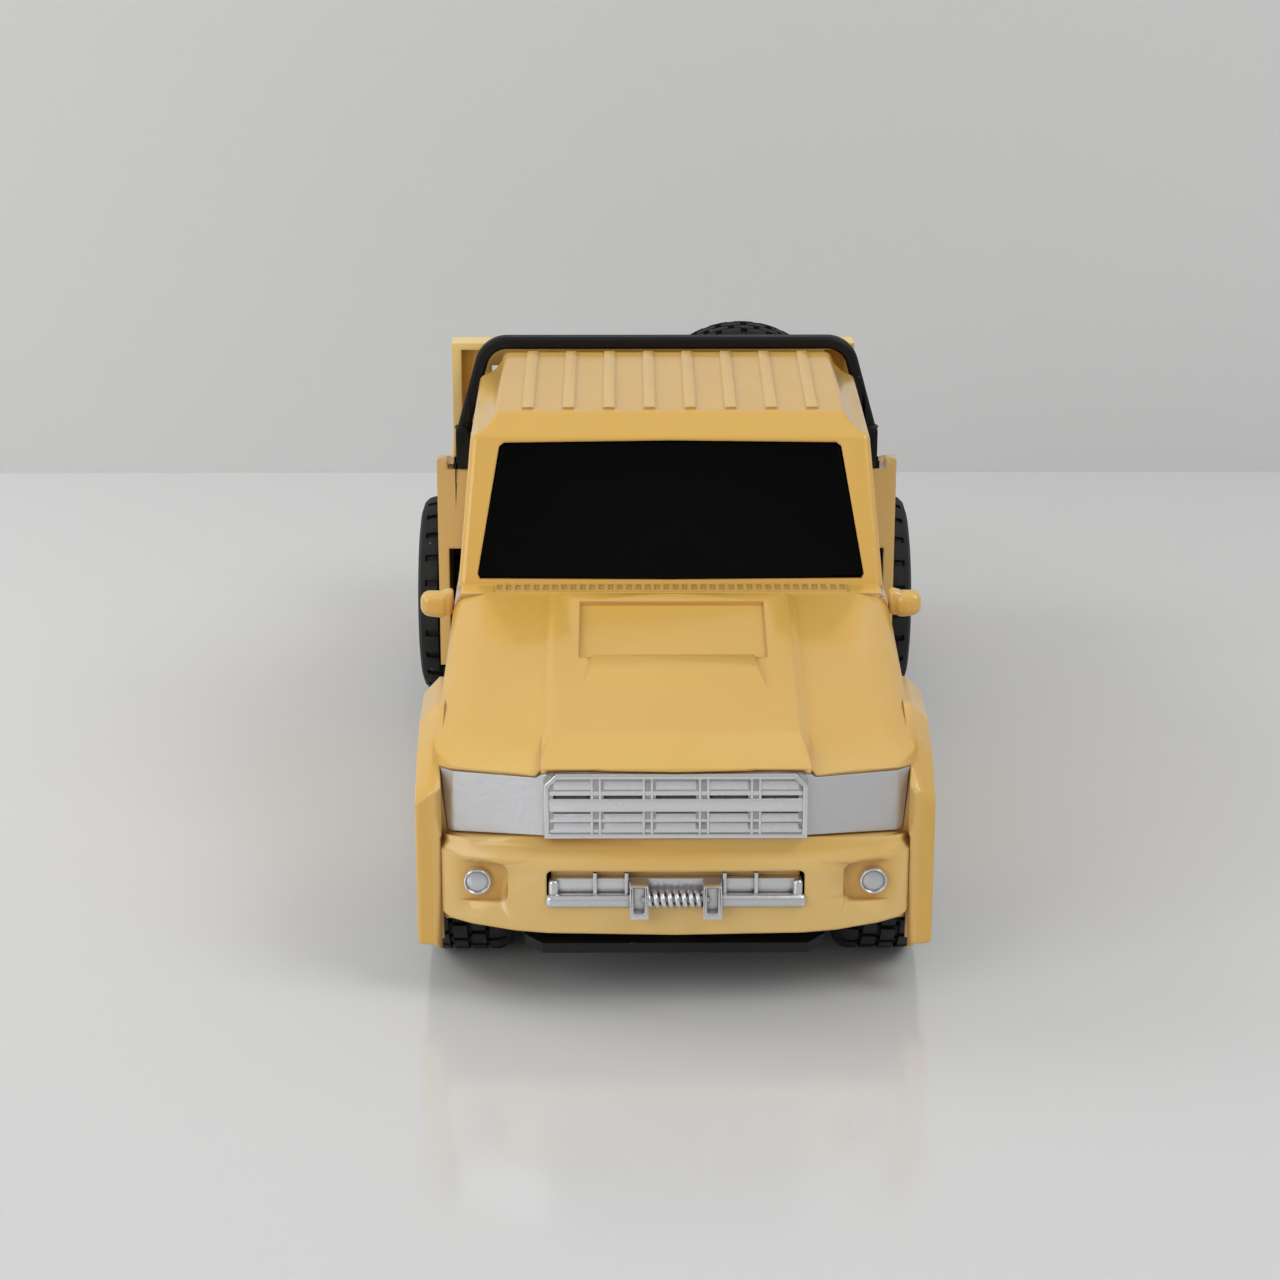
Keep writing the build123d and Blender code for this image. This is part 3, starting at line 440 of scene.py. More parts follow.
def new_group(name: str, inputs: dict[str, float],
              outputs: Sequence[str]) -> tuple[bpy.types.NodeTree, NodeBoard, bpy.types.Node, bpy.types.Node]:
    """Make a shader node group with named value sockets and its two end nodes.

    Args:
        name: The group's name.
        inputs: Name and default of each input.
        outputs: Name of each output.

    Returns:
        The group, a board to wire it with, its input node and its output node.
    """
    group = bpy.data.node_groups.new(name, "ShaderNodeTree")
    for label, default in inputs.items():
        socket = group.interface.new_socket(label, in_out="INPUT", socket_type="NodeSocketFloat")
        socket.default_value = default
    for label in outputs:
        group.interface.new_socket(label, in_out="OUTPUT", socket_type="NodeSocketFloat")
    board = NodeBoard(group)
    return group, board, board.add("NodeGroupInput"), board.add("NodeGroupOutput")


def build_moulding_group() -> bpy.types.NodeTree:
    """Grain of moulded plastic: a fine orange-peel height, flow marks and rub marks.

    Returns:
        The node group.
    """
    group, board, given, out = new_group("moulded_grain", {"Peel Scale": 900.0, "Flow Scale": 22.0},
                                         ("Height", "Flow", "Rub"))
    place = board.add("ShaderNodeTexCoord").outputs["Object"]
    peel = board.add("ShaderNodeTexNoise", Detail=2.0)
    board.wire(place, peel.inputs["Vector"])
    board.wire(given.outputs["Peel Scale"], peel.inputs["Scale"])
    flow = board.add("ShaderNodeTexNoise", Detail=4.0, Distortion=0.6)
    board.wire(place, flow.inputs["Vector"])
    board.wire(given.outputs["Flow Scale"], flow.inputs["Scale"])
    stretch = board.add("ShaderNodeMapping")
    stretch.inputs["Scale"].default_value = (260.0, 2600.0, 900.0)
    board.wire(place, stretch.inputs["Vector"])
    scratch = board.add("ShaderNodeTexNoise", Scale=1.0, Detail=3.0)
    board.wire(stretch.outputs[0], scratch.inputs["Vector"])
    board.wire(peel.outputs["Fac"], out.inputs["Height"])
    board.wire(board.ramp(flow.outputs["Fac"], 0.35, 0.65), out.inputs["Flow"])
    board.wire(board.ramp(scratch.outputs["Fac"], 0.62, 0.74), out.inputs["Rub"])
    return group


def build_edge_and_shade_group() -> bpy.types.NodeTree:
    """Masks for rubbed edges and for painted shade in hollows, from the surface's own shape.

    Returns:
        The node group.
    """
    group, board, given, out = new_group("rubbed_edges_and_painted_shade", {"Hollow Reach": 2.2 * MM}, ("Edge", "Hollow"))
    point = board.add("ShaderNodeNewGeometry").outputs["Pointiness"]
    # The hollow mask is painted shade: it darkens the colour where ambient occlusion finds nearby surfaces.
    shade = board.add("ShaderNodeAmbientOcclusion", samples=6)
    board.wire(given.outputs["Hollow Reach"], shade.inputs["Distance"])
    board.wire(board.ramp(point, 0.52, 0.58), out.inputs["Edge"])
    board.wire(board.ramp(shade.outputs["AO"], 0.92, 0.30), out.inputs["Hollow"])
    return group


def build_dust_group() -> bpy.types.NodeTree:
    """Specks of dust and lint, thicker on faces that look up.

    Returns:
        The node group.
    """
    group, board, given, out = new_group("dust", {"Speck Scale": 620.0, "Amount": 0.5}, ("Specks", "Film"))
    place = board.add("ShaderNodeTexCoord").outputs["Object"]
    cells = board.add("ShaderNodeTexVoronoi", Randomness=1.0)
    board.wire(place, cells.inputs["Vector"])
    board.wire(given.outputs["Speck Scale"], cells.inputs["Scale"])
    patch = board.add("ShaderNodeTexNoise", Scale=150.0, Detail=2.0)
    board.wire(place, patch.inputs["Vector"])
    split = board.add("ShaderNodeSeparateColor")
    board.wire(cells.outputs["Color"], split.inputs[0])
    dots = board.ramp(cells.outputs["Distance"], 0.13, 0.06)
    rare = board.ramp(split.outputs[0], 0.93, 0.95)
    both = board.math("MULTIPLY", dots, rare)
    board.wire(board.math("MULTIPLY", both, given.outputs["Amount"]), out.inputs["Specks"])
    up = board.add("ShaderNodeSeparateXYZ")
    board.wire(board.add("ShaderNodeNewGeometry").outputs["Normal"], up.inputs[0])
    level = board.ramp(up.outputs["Z"], 0.2, 1.0)
    film = board.math("MULTIPLY", level, board.ramp(patch.outputs["Fac"], 0.4, 0.7))
    board.wire(board.math("MULTIPLY", film, given.outputs["Amount"]), out.inputs["Film"])
    return group


class Effect(Enum):
    """The shared effects that finishes are built from."""

    GRAIN = "moulded_grain"
    EDGES = "rubbed_edges_and_painted_shade"
    DUST = "dust"


def effect_node(board: NodeBoard, effect: Effect, **values: float) -> bpy.types.Node:
    """Place a shared effect in a material with its own values.

    Args:
        board: The material's board.
        effect: Which effect.
        **values: Its inputs, by name with underscores for spaces.

    Returns:
        The group node.
    """
    node = board.tree.nodes.new("ShaderNodeGroup")
    node.node_tree = bpy.data.node_groups[effect.value]
    for key, value in values.items():
        node.inputs[key.replace("_", " ")].default_value = value
    return node


# ------------------------------------------------------------------ finishes
COAT_ROUGHNESS = 0.12
DUST_FILM = (0.62, 0.60, 0.56, 1.0)
DUST_SPECK = (0.70, 0.68, 0.64, 1.0)


@dataclass(frozen=True)
class Finish:
    """A surface finish: its colours, gloss, the shade painted into its hollows, and how much grain, wear and
    dust it has.
    """

    name: str
    color: tuple[float, float, float]
    # Colour of the painted shade that is mixed into hollows and crevices.
    hollow_shade: tuple[float, float, float]
    edge: tuple[float, float, float]
    slot: str
    roughness: float = 0.35
    spread: float = 0.08
    metallic: float = 0.0
    coat: float = 0.0
    specular: float = 0.5
    subsurface: float = 0.0
    peel: float = 0.02
    peel_scale: float = 900.0
    dust: float = 0.3
    speck_scale: float = 620.0
    flow: float = 0.12
    rounding: float = 0.0
    film: float = 0.03
    hollow_shade_share: float = 1.0
    hollow_shade_reach: float = 0.0022

    def build(self) -> bpy.types.Material:
        """Build the node material for this finish.

        Returns:
            The material.
        """
        material = bpy.data.materials.new(self.name)
        material.use_nodes = True
        material.node_tree.nodes.clear()
        board = NodeBoard(material.node_tree)
        output = board.add("ShaderNodeOutputMaterial")
        shader = board.add("ShaderNodeBsdfPrincipled")
        board.wire(shader.outputs[0], output.inputs["Surface"])
        for label, value in (("Metallic", self.metallic), ("Coat Weight", self.coat),
                             ("Coat Roughness", COAT_ROUGHNESS), ("Specular IOR Level", self.specular),
                             ("Subsurface Weight", self.subsurface), ("Subsurface Radius", (1.0, 0.55, 0.2)),
                             ("Subsurface Scale", 1.2 * MM)):
            shader.inputs[label].default_value = value
        grain = effect_node(board, Effect.GRAIN, Peel_Scale=self.peel_scale)
        shape = effect_node(board, Effect.EDGES, Hollow_Reach=self.hollow_shade_reach)
        dust = effect_node(board, Effect.DUST, Speck_Scale=self.speck_scale, Amount=self.dust)
        base = (*self.color, 1.0)
        tinted = tuple(channel * (1.0 - self.flow) for channel in self.color) + (1.0,)
        color = board.blend(grain.outputs["Flow"], base, tinted)
        # Painted shade: the hollow colour is mixed in wherever the ambient-occlusion mask finds a hollow.
        hollow_shade = board.math("MULTIPLY", shape.outputs["Hollow"], self.hollow_shade_share)
        color = board.blend(hollow_shade, color, (*self.hollow_shade, 1.0))
        worn = board.math("MULTIPLY", shape.outputs["Edge"], 0.5)
        color = board.blend(worn, color, (*self.edge, 1.0))
        dusty = board.math("MULTIPLY", dust.outputs["Film"], self.film)
        color = board.blend(dusty, color, DUST_FILM)
        color = board.blend(dust.outputs["Specks"], color, DUST_SPECK)
        board.wire(color, shader.inputs["Base Color"])
        rough = board.math("MULTIPLY_ADD", grain.outputs["Flow"], self.spread)
        rough.node.inputs[2].default_value = self.roughness
        rough = board.math("ADD", rough, board.math("MULTIPLY", grain.outputs["Rub"], 0.10))
        rough = board.math("ADD", rough, board.math("MULTIPLY", dust.outputs["Film"], 0.25))
        board.wire(rough, shader.inputs["Roughness"])
        bump = board.add("ShaderNodeBump", Strength=self.peel, Distance=0.0004)
        board.wire(grain.outputs["Height"], bump.inputs["Height"])
        if self.rounding:
            soft = board.add("ShaderNodeBevel", samples=4)
            soft.inputs["Radius"].default_value = self.rounding
            board.wire(soft.outputs[0], bump.inputs["Normal"])
        board.wire(bump.outputs[0], shader.inputs["Normal"])
        return material


# The third colour of each finish is the painted shade for its hollows.
YELLOW = Finish("golden_yellow_plastic", (0.76, 0.45, 0.085), (0.60, 0.235, 0.022), (0.86, 0.62, 0.26),
                "yellow_plastic", roughness=0.28, coat=0.8, subsurface=0.10, peel=0.05, peel_scale=650.0,
                dust=0.35, flow=0.05, rounding=0.0006, hollow_shade_share=0.8)
# A lighter copy of the golden yellow for the gantry: painted light on posts and recesses that sit in shade.
PAINTED_LIGHT_YELLOW = Finish("painted_light_yellow_plastic", (0.90, 0.61, 0.17), (0.86, 0.48, 0.03), (0.94, 0.74, 0.36),
                    "yellow_plastic", roughness=0.34, coat=0.3, subsurface=0.35, peel=0.05, peel_scale=650.0,
                    dust=0.2, flow=0.05, rounding=0.0004, hollow_shade_share=0.3)
BLACK = Finish("satin_black_plastic", (0.008, 0.0082, 0.0085), (0.003, 0.003, 0.003), (0.03, 0.03, 0.03),
               "black_plastic", roughness=0.40, specular=0.18, peel=0.10, peel_scale=1600.0,
               dust=0.25, film=0.01)
GLASS = Finish("polished_black_window", (0.0018, 0.0018, 0.002), (0.001, 0.001, 0.001), (0.006, 0.006, 0.006),
               "window_black", roughness=0.12, spread=0.02, specular=0.025, peel=0.003, peel_scale=300.0,
               dust=0.55, speck_scale=420.0, flow=0.02, film=0.002)
SILVER = Finish("bright_silver_plate", (0.66, 0.665, 0.68), (0.10, 0.085, 0.075), (0.90, 0.90, 0.92),
                "silver_trim", roughness=0.22, spread=0.10, metallic=0.9, peel=0.08, peel_scale=1500.0,
                dust=0.2, flow=0.08, rounding=0.0001, hollow_shade_reach=0.0007)
LAMP = Finish("satin_silver_lamp", (0.45, 0.455, 0.47), (0.22, 0.20, 0.19), (0.86, 0.86, 0.88),
              "silver_trim", roughness=0.42, spread=0.16, metallic=0.75, peel=0.22, peel_scale=1100.0,
              dust=0.25, flow=0.12, rounding=0.0002)
TYRE = Finish("tyre_rubber", (0.010, 0.0105, 0.010), (0.004, 0.004, 0.004), (0.03, 0.03, 0.03),
              "tyre", roughness=0.62, specular=0.3, peel=0.25, peel_scale=1300.0,
              dust=0.4, flow=0.25, film=0.012)
WHEEL = Finish("wheel_silver", (0.60, 0.61, 0.63), (0.10, 0.10, 0.10), (0.80, 0.80, 0.82), "wheel_silver",
               roughness=0.28, metallic=0.85, peel=0.06, dust=0.3)
STEEL = Finish("plated_steel", (0.55, 0.55, 0.55), (0.18, 0.17, 0.16), (0.75, 0.75, 0.75), "steel",
               roughness=0.34, metallic=1.0, peel=0.08, dust=0.2)
RED = Finish("red_lamp_plastic", (0.42, 0.012, 0.010), (0.16, 0.004, 0.004), (0.60, 0.05, 0.04), "red_lamp",
             roughness=0.16, coat=0.5, subsurface=0.05, peel=0.02, dust=0.25)


class Palette:
    """Builds each finish once and puts it on pieces."""

    def __init__(self) -> None:
        """Build the shared effects."""
        build_moulding_group()
        build_edge_and_shade_group()
        build_dust_group()
        self.built: dict[str, bpy.types.Material] = {}

    def material(self, finish: Finish) -> bpy.types.Material:
        """Find a finish's material, and build it at its first use.

        Args:
            finish: The finish.

        Returns:
            Its material.
        """
        if finish.name not in self.built:
            self.built[finish.name] = finish.build()
        return self.built[finish.name]

    def dress(self, piece: Piece, finish: Finish, body: str | None = None,
              *replaced: str) -> Piece:
        """Give a piece its finish, its body and the nodes it stands for.

        Args:
            piece: The object.
            finish: Its finish.
            body: The body it rides on, or None for a CAD node.
            *replaced: CAD nodes that it stands for.

        Returns:
            The same object.
        """
        piece.data.materials.clear()
        piece.data.materials.append(self.material(finish))
        if body is not None:
            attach(piece, body)
            if replaced:
                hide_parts(*replaced)
            LOG.info("%s rides on %s", piece.name, body)
        return piece


# ------------------------------------------------------------------ moulded panels
@dataclass
class Panels:
    """The moulded parts that keep their CAD shape, merged, smoothed and dressed."""

    palette: Palette
    smooth_only: tuple[tuple[str, str, Finish], ...] = (
        # The gantry takes the lighter copy of the yellow, which is painted light.
        ("cab_shell", BODY, YELLOW), ("tow_bed", BODY, YELLOW), ("gantry", BODY, PAINTED_LIGHT_YELLOW),
        ("front_bumper", BODY, YELLOW), ("tow_boom", "boom", YELLOW), ("window_insert", BODY, GLASS),
        ("grille_insert", BODY, LAMP), ("chassis", BODY, BLACK))
    rounded: tuple[tuple[str, str, Finish, float], ...] = (
        ("roll_hoop", BODY, BLACK, 0.5), ("rear_bumper", BODY, BLACK, 0.25),
        ("wheel_lift", "lift", BLACK, 0.4), ("tow_hook", "hook", SILVER, 0.5))

    def build(self) -> None:
        """Copy and dress every part, and round those with simple shapes."""
        for node, body, finish in self.smooth_only:
            self.palette.dress(from_cad(node), finish, body, node)
        for node, body, finish, width in self.rounded:
            piece = from_cad(node)
            round_edges(piece, width * MM)
            self.palette.dress(piece, finish, body, node)


# ------------------------------------------------------------------ wheels
@dataclass
class Wheels:
    """Tyres with a block tread and six-spoke wheels, for the road wheels and the spare."""

    palette: Palette
    steps: int = 96
    block_steps: int = 4
    groove_half: float = 0.35 * MM
    groove_depth: float = 0.7 * MM
    bead: float = 11.2 * MM
    spokes: int = 6
    rim_steps: int = 72
    road_width: float = 14.0 * MM
    spare_width: float = 11.0 * MM
    rows: tuple[float, ...] = (-0.2, 0.0, 0.2)
    shoulder: tuple[tuple[float, float], ...] = ((-2.6, 0.0), (-1.5, -0.35), (-0.7, -1.1), (-0.2, -2.6),
                                                 (0.0, -4.2), (-0.25, -4.5))
    bead_lip: tuple[tuple[float, float], ...] = ((-0.2, 1.9), (0.02, 1.6), (-0.25, 1.1), (-1.2, 0.03))

    def make_tyre(self, name: str, radius: float, width: float) -> Piece:
        """Spin a tyre about X and cut its tread into blocks.

        Args:
            name: The piece's name.
            radius: Radius over the tread.
            width: Width over the sidewalls.

        Returns:
            The tyre, centred on the origin.
        """
        half = width / 2
        floor = radius - self.groove_depth
        side = [(half + x * MM, radius + r * MM) for x, r in self.shoulder]
        side += [(half + x * MM, self.bead + r * MM) for x, r in self.bead_lip]
        edge, inner = self.groove_half, self.groove_half * 0.7
        tread = []
        for middle in (row * width for row in self.rows):
            tread += [(middle - edge, radius), (middle - inner, floor)]
            tread += [(middle + inner, floor), (middle + edge, radius)]
        outline = [(-x, r) for x, r in reversed(side)] + tread + side
        outline.append(outline[0])
        tyre = lathe(name, outline, self.steps)
        bounds = [-half, *(row * width for row in self.rows), half]
        for row, (low, high) in enumerate(zip(bounds, bounds[1:])):

            def in_cut(center: Vector, normal: Vector) -> bool:
                """Tell whether a face of the tread lies in one of this row's cuts.

                Args:
                    center: The face's centre.
                    normal: Its normal.

                Returns:
                    True if it does.
                """
                step = int(turn_about_x(center) * self.steps) % self.block_steps
                outer = math.hypot(center.y, center.z) > radius - 1.0 * MM
                return low < center.x < high and step == 2 * (row % 2) and outer and normal.x ** 2 < 0.35

            pick_faces(tyre, in_cut)
            bpy.ops.mesh.extrude_region_shrink_fatten(TRANSFORM_OT_shrink_fatten={"value": -0.55 * MM})
            leave_edit()
        take(tyre)
        bpy.ops.object.shade_smooth_by_angle(angle=math.radians(28))
        return tyre

    def make_rim(self, name: str, width: float) -> Piece:
        """Spin a dished wheel about X and open windows between its spokes.

        Args:
            name: The piece's name.
            width: Width of the tyre that it carries.

        Returns:
            The wheel, centred on the origin, with its face towards +X.
        """
        half = width / 2 - 1.2 * MM
        points = [(-1.35, 0.0), (-1.4, 1.3), (-1.7, 2.0), (-2.3, 2.4), (-2.9, 2.6), (-3.3, 3.2),
                  (-3.5, 4.0), (-3.9, 7.5), (-3.9, 8.3), (-3.5, 8.9), (-0.6, 9.9), (-0.15, 10.1),
                  (0.0, 10.5), (-0.15, 11.05), (-0.5, 11.17)]
        face = [(half + x * MM, r * MM) for x, r in points]
        back = [(-half + 0.3 * MM, 11.17 * MM), (-half, 10.9 * MM), (-half + 0.1 * MM, 10.2 * MM),
                (half - 5.6 * MM, 9.5 * MM), (half - 5.4 * MM, 8.3 * MM), (half - 5.4 * MM, 7.5 * MM),
                (half - 5.2 * MM, 4.0 * MM), (half - 5.2 * MM, 3.1 * MM), (-half + 0.4 * MM, 3.0 * MM),
                (-half + 0.1 * MM, 2.7 * MM), (-half + 0.1 * MM, 0.0)]
        rim = lathe(name, face + back, self.rim_steps)
        per_spoke = self.rim_steps // self.spokes
        for spoke in range(self.spokes):

            def in_window(center: Vector, normal: Vector) -> bool:
                """Tell whether a face of the dish lies in the window after this spoke.

                Args:
                    center: The face's centre.
                    normal: Its normal.

                Returns:
                    True if it does.
                """
                step = int(turn_about_x(center) * self.rim_steps)
                out = math.hypot(center.y, center.z)
                inside = spoke * per_spoke + 2 <= step < (spoke + 1) * per_spoke - 1
                return inside and 4.1 * MM < out < 7.4 * MM and abs(normal.x) > 0.8

            pick_faces(rim, in_window)
            bpy.ops.mesh.bridge_edge_loops()
            leave_edit()
        mend(rim)
        round_edges(rim, 0.12 * MM, segments=2, angle=50.0, smooth=40.0, clamp=True)
        return rim

    def place(self, node: str, turn: float) -> Matrix:
        """Find the move from the origin to a tyre's middle, after a turn about Z.

        Args:
            node: The tyre's node.
            turn: The turn in radians.

        Returns:
            The move.
        """
        low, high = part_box(node)
        middle = (Vector(low) + Vector(high)) / 2
        return Matrix.Translation(middle) @ Matrix.Rotation(turn, 4, "Z")

    def build(self) -> None:
        """Make one road wheel and the spare, and copy the road wheel to its four places."""
        low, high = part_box("tyre_front_left")
        road_tyre = self.make_tyre("road_tyre", (high[2] - low[2]) / 2, self.road_width)
        road_rim = self.make_rim("road_rim", self.road_width)
        for end in ("front", "rear"):
            for side, turn in (("left", 0.0), ("right", math.pi)):
                move = self.place(f"tyre_{end}_{side}", turn)
                for part, model, finish in (("tyre", road_tyre, TYRE), ("rim", road_rim, WHEEL)):
                    node = f"{part}_{end}_{side}"
                    piece = copy_piece(model, f"{end}_{side}_{part}_moulding", move)
                    self.palette.dress(piece, finish, f"{end}_wheels", node)
        for model in (road_tyre, road_rim):
            bpy.data.objects.remove(model)
        low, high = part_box("spare_tyre")
        move = self.place("spare_tyre", math.pi / 2)
        spare_tyre = self.make_tyre("spare_tyre_moulding", (high[2] - low[2]) / 2, self.spare_width)
        spare_rim = self.make_rim("spare_rim_moulding", self.spare_width)
        for part, model, finish in (("tyre", spare_tyre, TYRE), ("rim", spare_rim, WHEEL)):
            model.data.transform(move)
            self.palette.dress(model, finish, BODY, f"spare_{part}")


# ------------------------------------------------------------------ nose trims
@dataclass
class Grille:
    """The bright grille face: a frame with a wide middle bar, sloping slats and paired uprights."""

    palette: Palette
    half: float = 19.45 * MM
    bottom: float = 28.05 * MM
    top: float = 38.2 * MM
    frame: float = 0.75 * MM
    proud: float = 0.2 * MM
    depth: float = 0.85 * MM
    uprights: tuple[float, ...] = (-11.8, -4.15, 4.15, 11.8)
    pair_half: float = 0.6

    def bar(self, low: Sequence[float], high: Sequence[float], lean: float = 0.0) -> Piece:
        """Make one bar, its front top edge leant back.

        Args:
            low: Lowest corner.
            high: Highest corner.
            lean: How far the front top edge leans back.

        Returns:
            The bar.
        """
        piece = add_block("grille_bar", low, high)
        if lean:
            pick_edges(piece, lambda a, b: min(a.z, b.z) > high[2] - SNAP and max(a.y, b.y) < low[1] + SNAP)
            bpy.ops.transform.translate(value=(0.0, lean, 0.0))
            leave_edit()
        return round_edges(piece, 0.1 * MM, segments=2)

    def build(self) -> None:
        """Build the frame and its bars as one moulding."""
        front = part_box("grille_insert")[0][1] - self.proud
        back = front + self.proud + self.depth
        plate = add_block("grille_face", (-self.half, front, self.bottom), (self.half, back, self.top))
        pick_edges(plate, lambda a, b: min(a.z, b.z) > self.top - SNAP and abs(a.x - b.x) < SNAP)
        bpy.ops.mesh.bevel(offset=1.7 * MM, segments=1)
        leave_edit()
        sink_faces(plate, lambda c, n: n.y < -0.9, self.frame, (0.0, self.depth, 0.0))
        round_edges(plate, 0.16 * MM, segments=3)
        inner = self.half - self.frame
        floor = back - 0.02 * MM
        slats = ((34.85, 37.25, 0.16, 0.14), (32.35, 34.4, 0.02, 0.0), (30.64, 31.98, 0.16, 0.12),
                 (28.95, 30.5, 0.16, 0.12))
        bars = [self.bar((-inner, front + back_step * MM, low * MM), (inner, floor, high * MM), lean * MM)
                for low, high, back_step, lean in slats]
        for middle in self.uprights:
            for offset in (-self.pair_half, self.pair_half):
                left, right = (middle + offset - 0.2) * MM, (middle + offset + 0.2) * MM
                for low, high in ((28.7, 32.5), (34.2, 37.6)):
                    bars.append(self.bar((left, front + 0.08 * MM, low * MM), (right, floor, high * MM)))
        face = join_pieces([plate] + bars, "grille_face")
        self.palette.dress(face, SILVER, BODY)


@dataclass
class WinchTrim:
    """The bright trim in the lower opening, with two brackets and a coil between them."""

    palette: Palette
    half: float = 18.95 * MM
    bar_half: float = 19.45 * MM
    bracket_x: float = 5.45 * MM
    coil_radius: float = 0.93 * MM
    wire: float = 0.42 * MM
    turns: int = 8
    turn_steps: int = 28
    coil_back: float = -0.9 * MM
    coil_height: float = 18.7 * MM

    def soft_block(self, low: Sequence[float], high: Sequence[float], width: float) -> Piece:
        """A block between two corners with rounded edges."""
        return round_edges(add_block("trim_block", low, high), width, segments=4, clamp=True)

    def bracket(self, middle: float, front: float, nose: float) -> Piece:
        """Make one bracket with a channel down its face.

        Args:
            middle: Its middle across the truck.
            front: The bumper's front face.
            nose: The bracket's front face.

        Returns:
            The bracket.
        """
        half = 1.4 * MM
        piece = add_block("winch_bracket", (middle - half, nose, 15.95 * MM),
                          (middle + half, front + 1.0 * MM, 21.25 * MM))
        pick_edges(piece, lambda a, b: max(a.z, b.z) < 16.0 * MM and min(a.y, b.y) > front)
        bpy.ops.transform.translate(value=(0.0, 0.0, 1.2 * MM))
        leave_edit()
        pick_faces(piece, lambda c, n: n.y < -0.9)
        bpy.ops.mesh.inset(thickness=0.62 * MM, depth=0.0)
        bpy.ops.transform.translate(value=(0.0, 0.0, 0.45 * MM))
        bpy.ops.mesh.extrude_region_move(TRANSFORM_OT_translate={"value": (0.0, 1.5 * MM, 0.0)})
        leave_edit()
        return round_edges(piece, 0.16 * MM, segments=2)

    def coil(self, front: float) -> Piece:
        """Wind the coil with a screw modifier and close its ends.

        Args:
            front: The bumper's front face.

        Returns:
            The coil, in its place.
        """
        pitch = (2 * self.bracket_x - 2.5 * MM) / self.turns
        start = -self.turns * pitch / 2
        clear_selection()
        bpy.ops.mesh.primitive_circle_add(vertices=12, radius=self.wire, rotation=(math.pi / 2, 0.0, 0.0),
                                          location=(start, 0.0, self.coil_radius))
        coil = name_new("winch_coil")
        screw = coil.modifiers.new("winding", "SCREW")
        screw.axis = "X"
        screw.screw_offset = pitch
        screw.iterations = self.turns
        screw.steps = screw.render_steps = self.turn_steps
        screw.use_merge_vertices = False
        bpy.ops.object.modifier_apply(modifier=screw.name)
        bpy.ops.object.mode_set(mode="EDIT")
        bpy.ops.mesh.select_all(action="SELECT")
        bpy.ops.mesh.fill_holes(sides=0)
        leave_edit()
        mend(coil)
        bpy.ops.object.shade_smooth_by_angle(angle=math.radians(60))
        coil.data.transform(Matrix.Translation((0.0, front + self.coil_back, self.coil_height)))
        return coil

    def build(self) -> None:
        """Build the trim as one moulding."""
        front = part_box("front_bumper")[0][1]
        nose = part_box("winch_trim")[0][1]
        half = self.half
        parts = [self.soft_block((-half + 0.2 * MM, front + 1.2 * MM, 18.4 * MM),
                                 (half - 0.2 * MM, front + 2.2 * MM, 21.2 * MM), 0.2 * MM),
                 self.soft_block((-self.bar_half, front - 0.55 * MM, 16.95 * MM),
                                 (self.bar_half, front + 1.4 * MM, 19.0 * MM), 0.8 * MM)]
        for side in (-1, 1):
            edge = sorted((side * half, side * (half - 1.5 * MM)))
            parts.append(self.soft_block((edge[0], front + 0.1 * MM, 17.6 * MM),
                                         (edge[1], front + 1.9 * MM, 21.2 * MM), 0.6 * MM))
            for middle in (7.3, 12.0):
                left, right = (side * middle - 0.28) * MM, (side * middle + 0.28) * MM
                parts.append(self.soft_block((left, front + 0.25 * MM, 17.6 * MM),
                                             (right, front + 2.0 * MM, 22.4 * MM), 0.12 * MM))
            parts.append(self.bracket(side * self.bracket_x, front, nose))
        parts.append(self.coil(front))
        end, core = 5.0 * MM, 0.55 * MM
        drum = lathe("winch_drum", [(-end, 0.0), (-end, core), (end, core), (end, 0.0)], 24)
        drum.data.transform(Matrix.Translation((0.0, front + self.coil_back, self.coil_height)))
        parts.append(drum)
        self.palette.dress(join_pieces(parts, "winch_trim_moulding"), SILVER, BODY, "winch_trim")
        lip = self.soft_block((0.4 * MM - half, front + 2.25 * MM, 20.8 * MM),
                              (half - 0.4 * MM, front + 2.8 * MM, 22.7 * MM), 0.15 * MM)
        self.palette.dress(join_pieces([lip], "bumper_inner_lip"), YELLOW, BODY)


